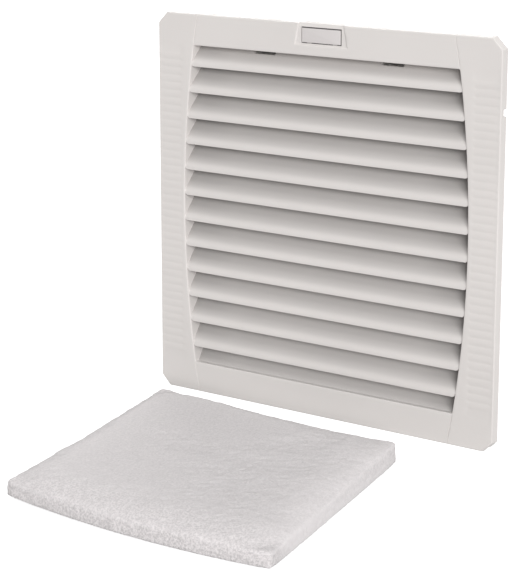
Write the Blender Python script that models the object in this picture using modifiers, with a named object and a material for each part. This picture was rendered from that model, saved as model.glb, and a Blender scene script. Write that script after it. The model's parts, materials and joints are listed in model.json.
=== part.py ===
"""Cabinet filter fan: a louvred cover hinged on a panel frame, its filter mat, and the axial fan behind.

The origin is the centre of the panel cut-out on the panel's front plane. +Z is up, -Y is the front of
the cabinet and +Y its inside. Lengths are in metres.
"""
import math

import bmesh
import bpy
from mathutils import Matrix, Vector

MM = 0.001

# Front cover
FRONT_SIDE = 320 * MM
COVER_DEPTH = 7 * MM
EDGE_DRAFT = 1 * MM
CORNER_CUT = 8.5 * MM
COVER_SKIN = 2 * MM
COVER_WALL = 2 * MM
EDGE_ROUND = 0.8 * MM
PANEL_GAP = 0.3 * MM

# Louvre opening and blades: the band round the opening, and where the first and last blades' tips lie
BAND_WIDTH = 25.4 * MM
OPENING_BULGE = 10.2 * MM
ARC_STEPS = 10
BLADE_COUNT = 13
FIRST_TIP_DROP = 17.6 * MM
LAST_TIP_SUNK = 8.2 * MM
BLADE_THICKNESS = 2 * MM
BLADE_DEPTH = 17 * MM
LIP_LENGTH = 2.5 * MM
LIP_ANGLE = 80
BLADE_BEND = 14 * MM
BLADE_ANGLE = 48
BEND_STEPS = 3
HOOK_SLOT_SPACING = 120 * MM
HOOK_SLOT_WIDTH = 20 * MM
HOOK_SLOT_HEIGHT = 2.6 * MM
HOOK_SLOT_DROP = 1.2 * MM

# Pry notches in the cover's sides
NOTCH_HEIGHT = 5.4 * MM
NOTCH_DEPTH = 3.7 * MM
NOTCH_DROP = 55.7 * MM

# Latch button, a bell crank on a pin
BUTTON_WIDTH = 36 * MM
BUTTON_MARGIN = 5.8 * MM
BUTTON_DROP = 1 * MM
BUTTON_THICKNESS = 1.3 * MM
BUTTON_PROUD = 0.3 * MM
BUTTON_GAP = 0.8 * MM
RECESS_DEPTH = 1 * MM
RECESS_TOP_HALF = 21.5 * MM
RECESS_BOTTOM_HALF = 24.9 * MM
RECESS_MARGIN = 8.3 * MM
RECESS_BRIM = 1.5 * MM
LATCH_Y = -3.4 * MM
LATCH_RISE = 4.6 * MM
LATCH_HUB = 1.5 * MM
LATCH_PIN_RADIUS = 0.75 * MM
LATCH_ARM_SPACING = 24 * MM
LATCH_ARM_WIDTH = 4 * MM
LATCH_LUG_OUTER = 19.5 * MM
LATCH_LUG_WIDTH = 3 * MM
HOOK_REACH = 4.9 * MM
HOOK_NOSE = 1.4 * MM
HOOK_DROP = 0.8 * MM
CATCH_WIDTH = 32 * MM
CATCH_THICKNESS = 1.4 * MM
SPRING_WIRE = 0.25 * MM
SPRING_COIL = 1.15 * MM
SPRING_TURNS = 3
SPRING_WIDTH = 11 * MM

# Cover hinge
HINGE_Y = -4.1 * MM
HINGE_RISE = 3.8 * MM
HINGE_SPACING = 200 * MM
HINGE_PIN_RADIUS = 0.8 * MM
KNUCKLE_RADIUS = 1.6 * MM
KNUCKLE_WIDTH = 10 * MM
EAR_RADIUS = 2.3 * MM
EAR_WIDTH = 5 * MM
POCKET_CLEARANCE = 0.2 * MM

# Panel frame
PANEL_OVERLAP = 14.5 * MM
CUTOUT_CLEARANCE = 1 * MM
FLANGE_THICKNESS = 2.5 * MM
FLANGE_CLEARANCE = 1 * MM
FLANGE_RISE = 3 * MM
GASKET_THICKNESS = 1.8 * MM
GASKET_MARGIN = 2.1 * MM
GASKET_WIDTH = 5.4 * MM
TUB_DEPTH = 36 * MM
TUB_WALL = 2.5 * MM
TUB_DRAFT = 0.207
TUB_CORNER = 10 * MM
FLOOR_THICKNESS = 2.5 * MM

# Mat and its bay
BAY_MARGIN = 41.5 * MM
MAT_THICKNESS = 20 * MM
MAT_ASIDE = 24 * MM
MAT_AHEAD = 83.5 * MM
MAT_TURN = 7.2
MAT_ROUND = 5 * MM
BAY_CLEARANCE = 0.6 * MM
BAY_WALL = 2 * MM
BAY_DEPTH = 20.7 * MM
BAY_LEDGE = 6.6 * MM
BAY_RIB_SPACING = 90 * MM
GRID_THICKNESS = 2.2 * MM
GRID_CELLS = 6
GRID_EDGE = 5 * MM
GRID_BAR = 3.5 * MM

# Panel clips
CLIP_DROP = 40.5 * MM
CLIP_WIDTH = 13 * MM
CLIP_INSET = 8.5 * MM
CLIP_REACH = 17.5 * MM
CLIP_HUB = 2.2 * MM
CLIP_PIN_RADIUS = 1 * MM
CLIP_GRIP = 2.2 * MM
CLIP_BITE = 2.8 * MM
CLIP_BOSS = 3 * MM

# Fan shroud
SHROUD_OVERLAP = 11 * MM
SHROUD_THICKNESS = 2.5 * MM
NOZZLE_MOUTH = 97 * MM
NOZZLE_THROAT = 82 * MM
NOZZLE_LENGTH = 15.5 * MM
NOZZLE_WALL = 2.2 * MM
SHROUD_SCREW_OFFSET = 6.5 * MM
POST_RADIUS = 5 * MM

# Axial fan
FAN_OUTER = 86 * MM
FAN_BORE = 81 * MM
FAN_WALL = 3 * MM
FAN_DEPTH = 52 * MM
FAN_LIP = 4 * MM
LUG_STANDOFF = 4.5 * MM
LUG_RADIUS = 6 * MM
STRUT_WIDTH = 5 * MM
STRUT_DEPTH = 3.6 * MM
SPIDER_HUB = 26 * MM
TUBE_RADIUS = 7.5 * MM
TUBE_BORE = 5.7 * MM
TUBE_LENGTH = 34 * MM
SHAFT_RADIUS = 2.5 * MM
BEARING_WIDTH = 5 * MM
STATOR_RADIUS = 25.6 * MM
STATOR_LENGTH = 16 * MM
WINDING_LENGTH = 6.9 * MM
SLOT_COUNT = 6
SLOT_CIRCLE = 17 * MM
SLOT_RADIUS = 3.4 * MM
ROTOR_RADIUS = 34 * MM
ROTOR_WALL = 2 * MM
ROTOR_LENGTH = 39 * MM
AIR_GAP = 0.7 * MM
HUB_RADIUS = 36.5 * MM
VANE_COUNT = 7
VANE_TIP_GAP = 2 * MM
VANE_THICKNESS = 1.8 * MM
VANE_ROOT_CHORD = 34 * MM
VANE_TIP_CHORD = 46 * MM
VANE_ROOT_PITCH = 48
VANE_TIP_PITCH = 26
VANE_SWEEP = 14
VANE_CAMBER = 0.07

# Finger guard
GUARD_WIRE = 1.1 * MM
GUARD_RING_WIRE = 0.9 * MM
GUARD_RINGS = 5
GUARD_FIRST_RING = 28 * MM
GUARD_RING_PITCH = 12 * MM
EYELET_RADIUS = 4.4 * MM
EYELET_HALF = 0.8 * MM

# Terminal block and lead
BLOCK_WIDTH = 44 * MM
BLOCK_HEIGHT = 16 * MM
BLOCK_DEPTH = 16 * MM
BLOCK_CLEARANCE = 2 * MM
POLE_COUNT = 3
POLE_PITCH = 12 * MM
ENTRY_WIDTH = 7 * MM
ENTRY_HEIGHT = 12 * MM
WELL_RADIUS = 3.2 * MM
LEAD_RADIUS = 1.7 * MM
LEAD_X = 5 * MM
LEAD_FIRST = 19 * MM
LEAD_SECOND = 39 * MM
LEAD_SEAT = 3 * MM
ENTRY_FRONT = 2.5 * MM
ENTRY_DEPTH = 6 * MM

# Screws and their bosses: shank radius, head radius, head height
SCREW_SHANK = 1.7 * MM
SCREW_HEAD = 3.4 * MM
SCREW_HEAD_HEIGHT = 2 * MM
BOSS_WALL = 1.6 * MM
BOSS_LENGTH = 9 * MM

# Clearances
SEAT = 0.3 * MM
RUNNING = 0.1 * MM
THROUGH = 1 * MM

# Places worked out from the sizes above
FRONT_HALF = FRONT_SIDE / 2
REAR_HALF = FRONT_HALF + EDGE_DRAFT
OPENING_SIDE = FRONT_SIDE - 2 * BAND_WIDTH
BLADE_PITCH = (OPENING_SIDE - FIRST_TIP_DROP + LAST_TIP_SUNK) / (BLADE_COUNT - 1)
TOP_BLADE_TIP = OPENING_SIDE / 2 - FIRST_TIP_DROP
NOTCH_LEVEL = FRONT_HALF - NOTCH_DROP
RECESS_HEIGHT = BAND_WIDTH - RECESS_MARGIN
RECESS_BOTTOM = FRONT_HALF - RECESS_HEIGHT
BUTTON_HEIGHT = RECESS_HEIGHT - BUTTON_MARGIN
BUTTON_LEVEL = RECESS_BOTTOM + RECESS_HEIGHT / 2 - BUTTON_DROP
LATCH_Z = OPENING_SIDE / 2 + COVER_WALL + LATCH_RISE
HOOK_TOP = LATCH_Z - HOOK_DROP
HINGE_Z = HINGE_RISE - FRONT_HALF
FLANGE_BOTTOM = HINGE_Z + FLANGE_RISE
CUTOUT_SIDE = FRONT_SIDE - 2 * PANEL_OVERLAP
GASKET_INNER = CUTOUT_SIDE / 2 + GASKET_MARGIN
GASKET_OUTER = GASKET_INNER + GASKET_WIDTH
CLIP_LEVEL = CUTOUT_SIDE / 2 - CLIP_DROP
CLIP_PIVOT = (CUTOUT_SIDE / 2 - CLIP_INSET, CLIP_REACH)
MAT_SIDE = CUTOUT_SIDE - 2 * BAY_MARGIN
MAT_CENTRE = (MAT_ASIDE, -MAT_AHEAD - MAT_SIDE / 2)
GRID_PITCH = (MAT_SIDE - 2 * GRID_EDGE) / GRID_CELLS
SHROUD_HALF = MAT_SIDE / 2 + SHROUD_OVERLAP
SHROUD_SCREW_SPACING = MAT_SIDE + 2 * SHROUD_SCREW_OFFSET
BLOCK_TOP = -SHROUD_HALF - BLOCK_CLEARANCE
LUG_SPACING = math.sqrt(2) * (FAN_OUTER + LUG_STANDOFF)
FACE_Y = -COVER_DEPTH
SKIN_BACK = FACE_Y + COVER_SKIN
SLEEVE_BACK = FACE_Y + BLADE_DEPTH
FLANGE_FRONT = -GASKET_THICKNESS - SEAT - FLANGE_THICKNESS
FLANGE_BACK = -GASKET_THICKNESS - SEAT
FLANGE_HALF = FRONT_HALF - COVER_WALL - FLANGE_CLEARANCE
TUB_HALF = CUTOUT_SIDE / 2 - CUTOUT_CLEARANCE
FLOOR_FRONT = TUB_DEPTH - FLOOR_THICKNESS
BAY_HALF = MAT_SIDE / 2 + BAY_CLEARANCE
GRID_BACK = FLOOR_FRONT - SEAT
GRID_FRONT = GRID_BACK - GRID_THICKNESS
BAY_FRONT = FLOOR_FRONT - BAY_DEPTH
SHROUD_FRONT = TUB_DEPTH + SEAT
SHROUD_BACK = SHROUD_FRONT + SHROUD_THICKNESS
NOZZLE_BACK = SHROUD_FRONT + 0.5 * MM + NOZZLE_LENGTH
FAN_FRONT = NOZZLE_BACK + SEAT
FAN_BACK = FAN_FRONT + FAN_DEPTH
STRUT_FRONT = FAN_BACK - STRUT_DEPTH - 0.4 * MM
TUBE_FRONT = STRUT_FRONT - TUBE_LENGTH
ROTOR_FRONT = TUBE_FRONT - 10 * MM
STATOR_FRONT = TUBE_FRONT + 6 * MM
STATOR_BACK = STATOR_FRONT + STATOR_LENGTH
BLOCK_FRONT = TUB_DEPTH + SEAT
BLOCK_BACK = BLOCK_FRONT + BLOCK_DEPTH

# Finish: colour, roughness, metallic
FINISHES = {
    "cover_plastic": ((0.72, 0.69, 0.67), 0.5, 0.0),
    "button_plastic": ((0.74, 0.71, 0.70), 0.45, 0.0),
    "frame_plastic": ((0.66, 0.64, 0.61), 0.55, 0.0),
    "gasket_foam": ((0.03, 0.03, 0.03), 0.95, 0.0),
    "mat_fleece": ((0.80, 0.79, 0.79), 0.95, 0.0),
    "black_plastic": ((0.02, 0.02, 0.02), 0.5, 0.0),
    "cast_aluminium": ((0.42, 0.43, 0.44), 0.5, 1.0),
    "steel": ((0.55, 0.55, 0.55), 0.35, 1.0),
    "lamination_steel": ((0.25, 0.25, 0.27), 0.5, 1.0),
    "copper": ((0.72, 0.35, 0.18), 0.4, 1.0),
    "terminal_plastic": ((0.35, 0.36, 0.37), 0.5, 0.0),
    "lead_jacket": ((0.05, 0.05, 0.05), 0.6, 0.0),
}


def tub_half(y):
    """Half the tub's outer width at a depth: it narrows towards the floor."""
    return TUB_HALF - TUB_DRAFT * (y - FLANGE_BACK)


def finish(name):
    """The material of a finish, made once."""
    if name in bpy.data.materials:
        return bpy.data.materials[name]
    colour, roughness, metallic = FINISHES[name]
    material = bpy.data.materials.new(name)
    material.use_nodes = True
    shader = material.node_tree.nodes["Principled BSDF"]
    shader.inputs["Base Color"].default_value = (*colour, 1)
    shader.inputs["Roughness"].default_value = roughness
    shader.inputs["Metallic"].default_value = metallic
    material.diffuse_color = (*colour, 1)
    return material


def part(name, data, finish_name, origin=(0, 0, 0)):
    """A sub-part from a mesh or curve in world coordinates, with its origin at a point."""
    data.transform(Matrix.Translation(-Vector(origin)))
    thing = bpy.data.objects.new(name, data)
    thing.location = origin
    data.materials.clear()
    data.materials.append(finish(finish_name))
    bpy.data.collections["cabinet_filter_fan"].objects.link(thing)
    return thing


def tool(name, mesh):
    """A solid that only cuts, joins or clips sub-parts."""
    thing = bpy.data.objects.new(name, mesh)
    thing.hide_render = True
    thing.display_type = "WIRE"
    bpy.data.collections["cutters"].objects.link(thing)
    return thing


def combine(target, other, operation):
    """Adds a Boolean modifier that joins, cuts or clips the target with another object."""
    modifier = target.modifiers.new(other.name, "BOOLEAN")
    modifier.operation = operation
    modifier.object = other


def join(target, *others):
    for other in others:
        combine(target, other, "UNION")


def cut(target, *others):
    for other in others:
        combine(target, other, "DIFFERENCE")


def smooth(mesh, angle=35):
    """Shades a round piece smooth, with its hard edges kept sharp."""
    mesh.shade_smooth()
    mesh.set_sharp_from_angle(angle=math.radians(angle))


def mesh_of(solid, name="solid"):
    """Turns a bmesh into mesh data with its faces pointing out."""
    bmesh.ops.recalc_face_normals(solid, faces=solid.faces)
    mesh = bpy.data.meshes.new(name)
    solid.to_mesh(mesh)
    solid.free()
    return mesh


def box(low, high, rounding=0.0, segments=2):
    """A block between two corners, its edges rounded where a rounding is given."""
    low, high = Vector(low), Vector(high)
    size = high - low
    solid = bmesh.new()
    matrix = Matrix.Translation((low + high) / 2) @ Matrix.Diagonal((*size, 1))
    bmesh.ops.create_cube(solid, size=1, matrix=matrix)
    if rounding:
        bmesh.ops.bevel(
            solid, geom=solid.edges, offset=rounding, segments=segments, profile=0.5, affect="EDGES",
        )
    return mesh_of(solid)


def rod(start, end, radius, sides=10):
    """A cylinder between two points."""
    start, end = Vector(start), Vector(end)
    length = (end - start).length
    turn = (end - start).to_track_quat("Z", "Y").to_matrix().to_4x4()
    matrix = Matrix.Translation((start + end) / 2) @ turn
    solid = bmesh.new()
    bmesh.ops.create_cone(
        solid, cap_ends=True, segments=sides, radius1=radius, radius2=radius, depth=length, matrix=matrix,
    )
    mesh = mesh_of(solid)
    smooth(mesh)
    return mesh


def slab(plane, loops, low, high):
    """A flat outline with holes, as a filled 2D curve, extruded from low to high across its plane."""
    curve = bpy.data.curves.new("outline", "CURVE")
    curve.dimensions = "2D"
    curve.fill_mode = "BOTH"
    curve.extrude = (high - low) / 2
    for loop in loops:
        spline = curve.splines.new("POLY")
        spline.points.add(len(loop) - 1)
        spline.use_cyclic_u = True
        for point, (u, v) in zip(spline.points, loop):
            point.co = (u, v, 0, 1)
    holder = bpy.data.objects.new("outline", curve)
    bpy.context.scene.collection.objects.link(holder)
    depsgraph = bpy.context.evaluated_depsgraph_get()
    flat = bpy.data.meshes.new_from_object(holder.evaluated_get(depsgraph))
    bpy.data.objects.remove(holder)
    bpy.data.curves.remove(curve)
    columns = {
        "XZ": ((1, 0, 0), (0, 0, 1), (0, -1, 0)),
        "YZ": ((0, 1, 0), (0, 0, 1), (1, 0, 0)),
        "XY": ((1, 0, 0), (0, 1, 0), (0, 0, 1)),
    }[plane]
    turn = Matrix(columns).transposed().to_4x4()
    across = Vector([abs(c) for c in columns[2]])
    solid = bmesh.new()
    solid.from_mesh(flat)
    bpy.data.meshes.remove(flat)
    bmesh.ops.remove_doubles(solid, verts=solid.verts, dist=1e-6)
    matrix = Matrix.Translation(across * (low + high) / 2) @ turn
    bmesh.ops.transform(solid, matrix=matrix, verts=solid.verts)
    return mesh_of(solid)


def turned(profile, steps=32, centre=(0.0, 0.0), smooth_angle=35):
    """Turns an outline of (radius, y) points about an axis along Y through centre (x, z).

    An outline that starts and ends on the axis stays open there. Any other is closed to a ring.
    """
    count = len(profile)
    on_axis = profile[0][0] == 0 and profile[-1][0] == 0
    edges = [(i, i + 1) for i in range(count - 1)]
    if not on_axis:
        edges.append((count - 1, 0))
    outline = bpy.data.meshes.new("profile")
    outline.from_pydata([(radius, y, 0) for radius, y in profile], edges, [])
    holder = bpy.data.objects.new("profile", outline)
    bpy.context.scene.collection.objects.link(holder)
    screw = holder.modifiers.new("turn", "SCREW")
    screw.axis = "Y"
    screw.steps = steps
    screw.render_steps = steps
    screw.use_merge_vertices = True
    screw.merge_threshold = 0.00001
    depsgraph = bpy.context.evaluated_depsgraph_get()
    mesh = bpy.data.meshes.new_from_object(holder.evaluated_get(depsgraph))
    bpy.data.objects.remove(holder)
    bpy.data.meshes.remove(outline)
    solid = bmesh.new()
    solid.from_mesh(mesh)
    bpy.data.meshes.remove(mesh)
    bmesh.ops.remove_doubles(solid, verts=solid.verts, dist=1e-6)
    bmesh.ops.translate(solid, vec=(centre[0], 0, centre[1]), verts=solid.verts)
    mesh = mesh_of(solid)
    smooth(mesh, smooth_angle)
    return mesh


def arc(centre, radius, start, end, steps):
    """Points along an arc in a plane."""
    angles = [start + (end - start) * i / steps for i in range(steps + 1)]
    return [(centre[0] + radius * math.cos(a), centre[1] + radius * math.sin(a)) for a in angles]


def octagon(half, corner):
    """A square outline with cut corners."""
    loop = []
    for sx, sz in ((1, 1), (-1, 1), (-1, -1), (1, -1)):
        ends = [(sx * half, sz * (half - corner)), (sx * (half - corner), sz * half)]
        loop += ends if sx * sz > 0 else ends[::-1]
    return loop


def square(half):
    return [(half, half), (-half, half), (-half, -half), (half, -half)]


def drafted_block(front_half, rear_half, corner, front, back, front_round=0.0):
    """An octagonal block whose rear is wider or narrower than its front, with a rounded front edge."""
    mesh = slab("XZ", [octagon(front_half, corner)], front, back)
    solid = bmesh.new()
    solid.from_mesh(mesh)
    bpy.data.meshes.remove(mesh)
    middle = (front + back) / 2
    scale = rear_half / front_half
    for vertex in solid.verts:
        if vertex.co.y > middle:
            vertex.co.x *= scale
            vertex.co.z *= scale
    if front_round:
        rim = [edge for edge in solid.edges if all(v.co.y < middle for v in edge.verts)]
        bmesh.ops.bevel(solid, geom=rim, offset=front_round, segments=2, profile=0.5, affect="EDGES")
    return mesh_of(solid)


def opening_side(z, grow=0.0):
    """Half the louvre opening's width at a height: its sides are shallow arcs."""
    chord = OPENING_SIDE / 2
    radius = (chord ** 2 + OPENING_BULGE ** 2) / (2 * OPENING_BULGE)
    return OPENING_SIDE / 2 + grow - (radius - math.sqrt(radius ** 2 - z ** 2))


def opening(grow=0.0):
    """The louvre opening's outline, straight at top and bottom, grown by a wall where asked."""
    top = OPENING_SIDE / 2 + grow
    levels = [-top + 2 * top * i / ARC_STEPS for i in range(ARC_STEPS + 1)]
    right = [(opening_side(z, grow), z) for z in levels]
    return right + [(-x, z) for x, z in reversed(right)]


def blade_profile(tip):
    """A blade's section in (y, z): a steep lip, a bend, then a straight slope up to the rear edge."""
    turn = math.radians(BLADE_ANGLE - LIP_ANGLE)
    angles = [math.radians(LIP_ANGLE)]
    angles += [angles[0] + turn * i / BEND_STEPS for i in range(BEND_STEPS + 1)]
    step = 2 * BLADE_BEND * math.sin(-turn / BEND_STEPS / 2)
    points = [(FACE_Y, tip)]
    y = FACE_Y + LIP_LENGTH * math.cos(angles[0])
    z = tip + LIP_LENGTH * math.sin(angles[0])
    points.append((y, z))
    for first, second in zip(angles[1:], angles[2:]):
        middle = (first + second) / 2
        y += step * math.cos(middle)
        z += step * math.sin(middle)
        points.append((y, z))
    slope = math.radians(BLADE_ANGLE)
    run = SLEEVE_BACK - y
    points.append((SLEEVE_BACK, z + run * math.tan(slope)))
    normals = [angles[0]] + angles[1:] + [slope]
    back = []
    for (y, z), angle in zip(points, normals):
        back.append((y + BLADE_THICKNESS * math.sin(angle), z - BLADE_THICKNESS * math.cos(angle)))
    back[0] = (back[0][0], tip)
    back[-1] = (SLEEVE_BACK, points[-1][1] - BLADE_THICKNESS / math.cos(slope))
    return points + back[::-1]


def louvre_blades():
    """The stack of blades, clipped to half the thickness of the opening's wall."""
    width = OPENING_SIDE / 2 + COVER_WALL
    blades = tool("blade_stack", slab("YZ", [blade_profile(TOP_BLADE_TIP)], -width, width))
    stack = blades.modifiers.new("stack", "ARRAY")
    stack.count = BLADE_COUNT
    stack.use_relative_offset = False
    stack.use_constant_offset = True
    stack.constant_offset_displace = (0, 0, -BLADE_PITCH)
    clip = slab("XZ", [opening(COVER_WALL / 2)], FACE_Y - THROUGH, SLEEVE_BACK + THROUGH)
    combine(blades, tool("blade_clip", clip), "INTERSECT")
    for side in (-1, 1):
        middle = side * HOOK_SLOT_SPACING / 2
        top = OPENING_SIDE / 2 - HOOK_SLOT_DROP
        low = (middle - HOOK_SLOT_WIDTH / 2, FACE_Y + LIP_LENGTH, top - HOOK_SLOT_HEIGHT)
        high = (middle + HOOK_SLOT_WIDTH / 2, SLEEVE_BACK - THROUGH, top)
        cut(blades, tool(f"hook_slot_{side}", box(low, high)))
    return blades


def louvre_cover():
    """The front moulding: drafted bezel, arc-sided sleeve with its blades, button recess and hinge ears."""
    origin = (0, HINGE_Y, HINGE_Z)
    bezel = drafted_block(FRONT_HALF, REAR_HALF, CORNER_CUT, FACE_Y, -PANEL_GAP, EDGE_ROUND)
    cover = part("louvre_cover", bezel, "cover_plastic", origin)
    inner_corner = CORNER_CUT - COVER_WALL * (2 - math.sqrt(2))
    hollow = drafted_block(
        FRONT_HALF - COVER_WALL, REAR_HALF - COVER_WALL, inner_corner, SKIN_BACK, -PANEL_GAP + THROUGH,
    )
    cut(cover, tool("cover_hollow", hollow))
    sleeve = slab("XZ", [opening(COVER_WALL)], SKIN_BACK - COVER_SKIN / 2, SLEEVE_BACK)
    join(cover, tool("cover_sleeve", sleeve))
    mouth = slab("XZ", [opening()], FACE_Y - THROUGH, SLEEVE_BACK + THROUGH)
    cut(cover, tool("cover_mouth", mouth))
    join(cover, louvre_blades())
    cut(cover, *button_recess(), *pry_notches())
    hinge_side_of_cover(cover)
    latch_side_of_cover(cover)
    return cover


def button_recess():
    """The trapezoid recess, open at the top edge, and the window that the button fills."""
    above = FRONT_HALF + EDGE_DRAFT + THROUGH
    slope = (RECESS_BOTTOM_HALF - RECESS_TOP_HALF) / (FRONT_HALF - RECESS_BOTTOM)
    top_half = RECESS_TOP_HALF - slope * (above - FRONT_HALF)
    outline = [
        (-RECESS_BOTTOM_HALF, RECESS_BOTTOM), (RECESS_BOTTOM_HALF, RECESS_BOTTOM),
        (top_half, above), (-top_half, above),
    ]
    recess = slab("XZ", [outline], FACE_Y - THROUGH, FACE_Y + RECESS_DEPTH)
    half = BUTTON_WIDTH / 2 + BUTTON_GAP
    rise = BUTTON_HEIGHT / 2 + BUTTON_GAP
    window = box(
        (-half, FACE_Y - THROUGH, BUTTON_LEVEL - rise), (half, SKIN_BACK + THROUGH, BUTTON_LEVEL + rise),
    )
    floor = FACE_Y + RECESS_DEPTH
    brim = [
        (floor - THROUGH, FRONT_HALF - RECESS_BRIM - THROUGH), (floor + RECESS_BRIM + THROUGH, above),
        (floor - THROUGH, above),
    ]
    scoop = slab("YZ", [brim], -RECESS_TOP_HALF + COVER_WALL, RECESS_TOP_HALF - COVER_WALL)
    return tool("button_recess", recess), tool("button_window", window), tool("button_scoop", scoop)


def pry_notches():
    """A notch in each side wall, where a screwdriver levers the cover off."""
    notches = []
    for side in (-1, 1):
        reach = (side * (FRONT_HALF - COVER_WALL - THROUGH), side * (REAR_HALF + THROUGH))
        low = (min(reach), -NOTCH_DEPTH, NOTCH_LEVEL - NOTCH_HEIGHT / 2)
        high = (max(reach), THROUGH, NOTCH_LEVEL + NOTCH_HEIGHT / 2)
        notches.append(tool(f"pry_notch_{side}", box(low, high)))
    return notches


def hinge_side_of_cover(cover):
    """Cuts the bottom wall back to the pivot, and adds two ears each side of both frame knuckles."""
    reach = REAR_HALF + THROUGH
    relief = box((-reach, HINGE_Y, -reach), (reach, THROUGH, HINGE_Z))
    cut(cover, tool("hinge_relief", relief))
    for side in (-1, 1):
        middle = side * HINGE_SPACING / 2
        pocket_half = KNUCKLE_WIDTH / 2 + SEAT
        ear_half = pocket_half + EAR_WIDTH
        left, right = middle - ear_half, middle + ear_half
        ears = rod((left, HINGE_Y, HINGE_Z), (right, HINGE_Y, HINGE_Z), EAR_RADIUS, 16)
        join(cover, tool(f"hinge_ears_{side}", ears))
        pocket_radius = max(KNUCKLE_RADIUS + 2 * POCKET_CLEARANCE, EAR_RADIUS)
        pocket = box(
            (middle - pocket_half, HINGE_Y - KNUCKLE_RADIUS - SEAT, HINGE_Z - KNUCKLE_RADIUS - POCKET_CLEARANCE),
            (middle + pocket_half, HINGE_Y + pocket_radius + SEAT, HINGE_Z + pocket_radius + SEAT),
        )
        cut(cover, tool(f"hinge_pocket_{side}", pocket))
        bore = rod(
            (left - THROUGH, HINGE_Y, HINGE_Z), (right + THROUGH, HINGE_Y, HINGE_Z),
            HINGE_PIN_RADIUS + RUNNING,
        )
        cut(cover, tool(f"hinge_bore_{side}", bore))


def latch_side_of_cover(cover):
    """Two lugs behind the skin that hold the button's pin."""
    for side in (-1, 1):
        outer = side * LATCH_LUG_OUTER
        inner = side * (LATCH_LUG_OUTER - LATCH_LUG_WIDTH)
        eye = rod((inner, LATCH_Y, LATCH_Z), (outer, LATCH_Y, LATCH_Z), LATCH_HUB)
        root = box(
            (min(inner, outer), SKIN_BACK - COVER_SKIN / 4, LATCH_Z - LATCH_HUB),
            (max(inner, outer), LATCH_Y, LATCH_Z + LATCH_HUB),
        )
        join(cover, tool(f"latch_eye_{side}", eye), tool(f"latch_lug_{side}", root))
    reach = LATCH_LUG_OUTER + THROUGH
    bore = rod((-reach, LATCH_Y, LATCH_Z), (reach, LATCH_Y, LATCH_Z), LATCH_PIN_RADIUS + RUNNING)
    cut(cover, tool("latch_bore", bore))


def latch():
    """The button with its two crank arms and hooks, the pin that it rocks on, and its return spring."""
    half = BUTTON_WIDTH / 2
    front = FACE_Y + RECESS_DEPTH - BUTTON_PROUD
    plate_back = front + BUTTON_THICKNESS
    bottom = BUTTON_LEVEL - BUTTON_HEIGHT / 2
    top = BUTTON_LEVEL + BUTTON_HEIGHT / 2
    plate = box((-half, front, bottom), (half, plate_back, top), 0.3 * MM, 1)
    button = part("latch_button", plate, "button_plastic", (0, LATCH_Y, LATCH_Z))
    arm_front = SKIN_BACK + SEAT
    arm_back = arm_front + 1.4 * MM
    upright = [
        (arm_front, LATCH_Z), (arm_back, LATCH_Z), (arm_back, BUTTON_LEVEL - 1 * MM),
        (plate_back - 0.4 * MM, BUTTON_LEVEL + 1 * MM), (plate_back - 0.4 * MM, bottom + 0.4 * MM),
        (arm_front, bottom + 0.4 * MM),
    ]
    nose_front = HOOK_REACH - HOOK_NOSE
    hook = [
        (LATCH_Y, LATCH_Z - LATCH_HUB + 0.1 * MM), (HOOK_REACH, HOOK_TOP - 1.8 * MM),
        (HOOK_REACH, HOOK_TOP - 0.5 * MM), (nose_front + 0.4 * MM, HOOK_TOP),
        (nose_front, HOOK_TOP), (nose_front, HOOK_TOP - 0.8 * MM),
        (LATCH_Y, LATCH_Z),
    ]
    for side in (-1, 1):
        middle = side * LATCH_ARM_SPACING / 2
        low, high = middle - LATCH_ARM_WIDTH / 2, middle + LATCH_ARM_WIDTH / 2
        eye = rod((low, LATCH_Y, LATCH_Z), (high, LATCH_Y, LATCH_Z), LATCH_HUB)
        join(button, tool(f"button_upright_{side}", slab("YZ", [upright], low, high)))
        join(button, tool(f"button_eye_{side}", eye))
        join(button, tool(f"button_hook_{side}", slab("YZ", [hook], low, high)))
    reach = LATCH_ARM_SPACING / 2 + LATCH_ARM_WIDTH
    bore = rod((-reach, LATCH_Y, LATCH_Z), (reach, LATCH_Y, LATCH_Z), LATCH_PIN_RADIUS + RUNNING)
    cut(button, tool("button_bore", bore))
    pin_end = LATCH_LUG_OUTER - 0.2 * MM
    pin = rod((-pin_end, LATCH_Y, LATCH_Z), (pin_end, LATCH_Y, LATCH_Z), LATCH_PIN_RADIUS)
    part("latch_pin", pin, "steel")
    latch_spring(arm_front)


def latch_spring(leg_y):
    """A torsion spring round the pin: one leg on the skin's back, one on the button's back."""
    half = SPRING_WIDTH / 2
    steps = SPRING_TURNS * 8
    leg_y = leg_y + SPRING_WIRE
    points = [(-half, leg_y, LATCH_Z - 2.9 * MM), (-half, leg_y, LATCH_Z - 1.6 * MM)]
    for i in range(steps + 1):
        angle = math.pi - 2 * math.pi * SPRING_TURNS * i / steps
        x = -half + SPRING_WIDTH * i / steps
        points.append((x, LATCH_Y + SPRING_COIL * math.cos(angle), LATCH_Z + SPRING_COIL * math.sin(angle)))
    points += [(half, leg_y, LATCH_Z + 1.6 * MM), (half, leg_y, LATCH_Z + 5.8 * MM)]
    wire("latch_spring", points, SPRING_WIRE, "steel", 1)


def wire(name, points, radius, finish_name, resolution=2):
    """A round wire or lead along a list of points."""
    curve = bpy.data.curves.new(name, "CURVE")
    curve.dimensions = "3D"
    curve.bevel_depth = radius
    curve.bevel_resolution = resolution
    curve.use_fill_caps = True
    spline = curve.splines.new("POLY")
    spline.points.add(len(points) - 1)
    for point, place in zip(spline.points, points):
        point.co = (*place, 1)
    return part(name, curve, finish_name)


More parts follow.
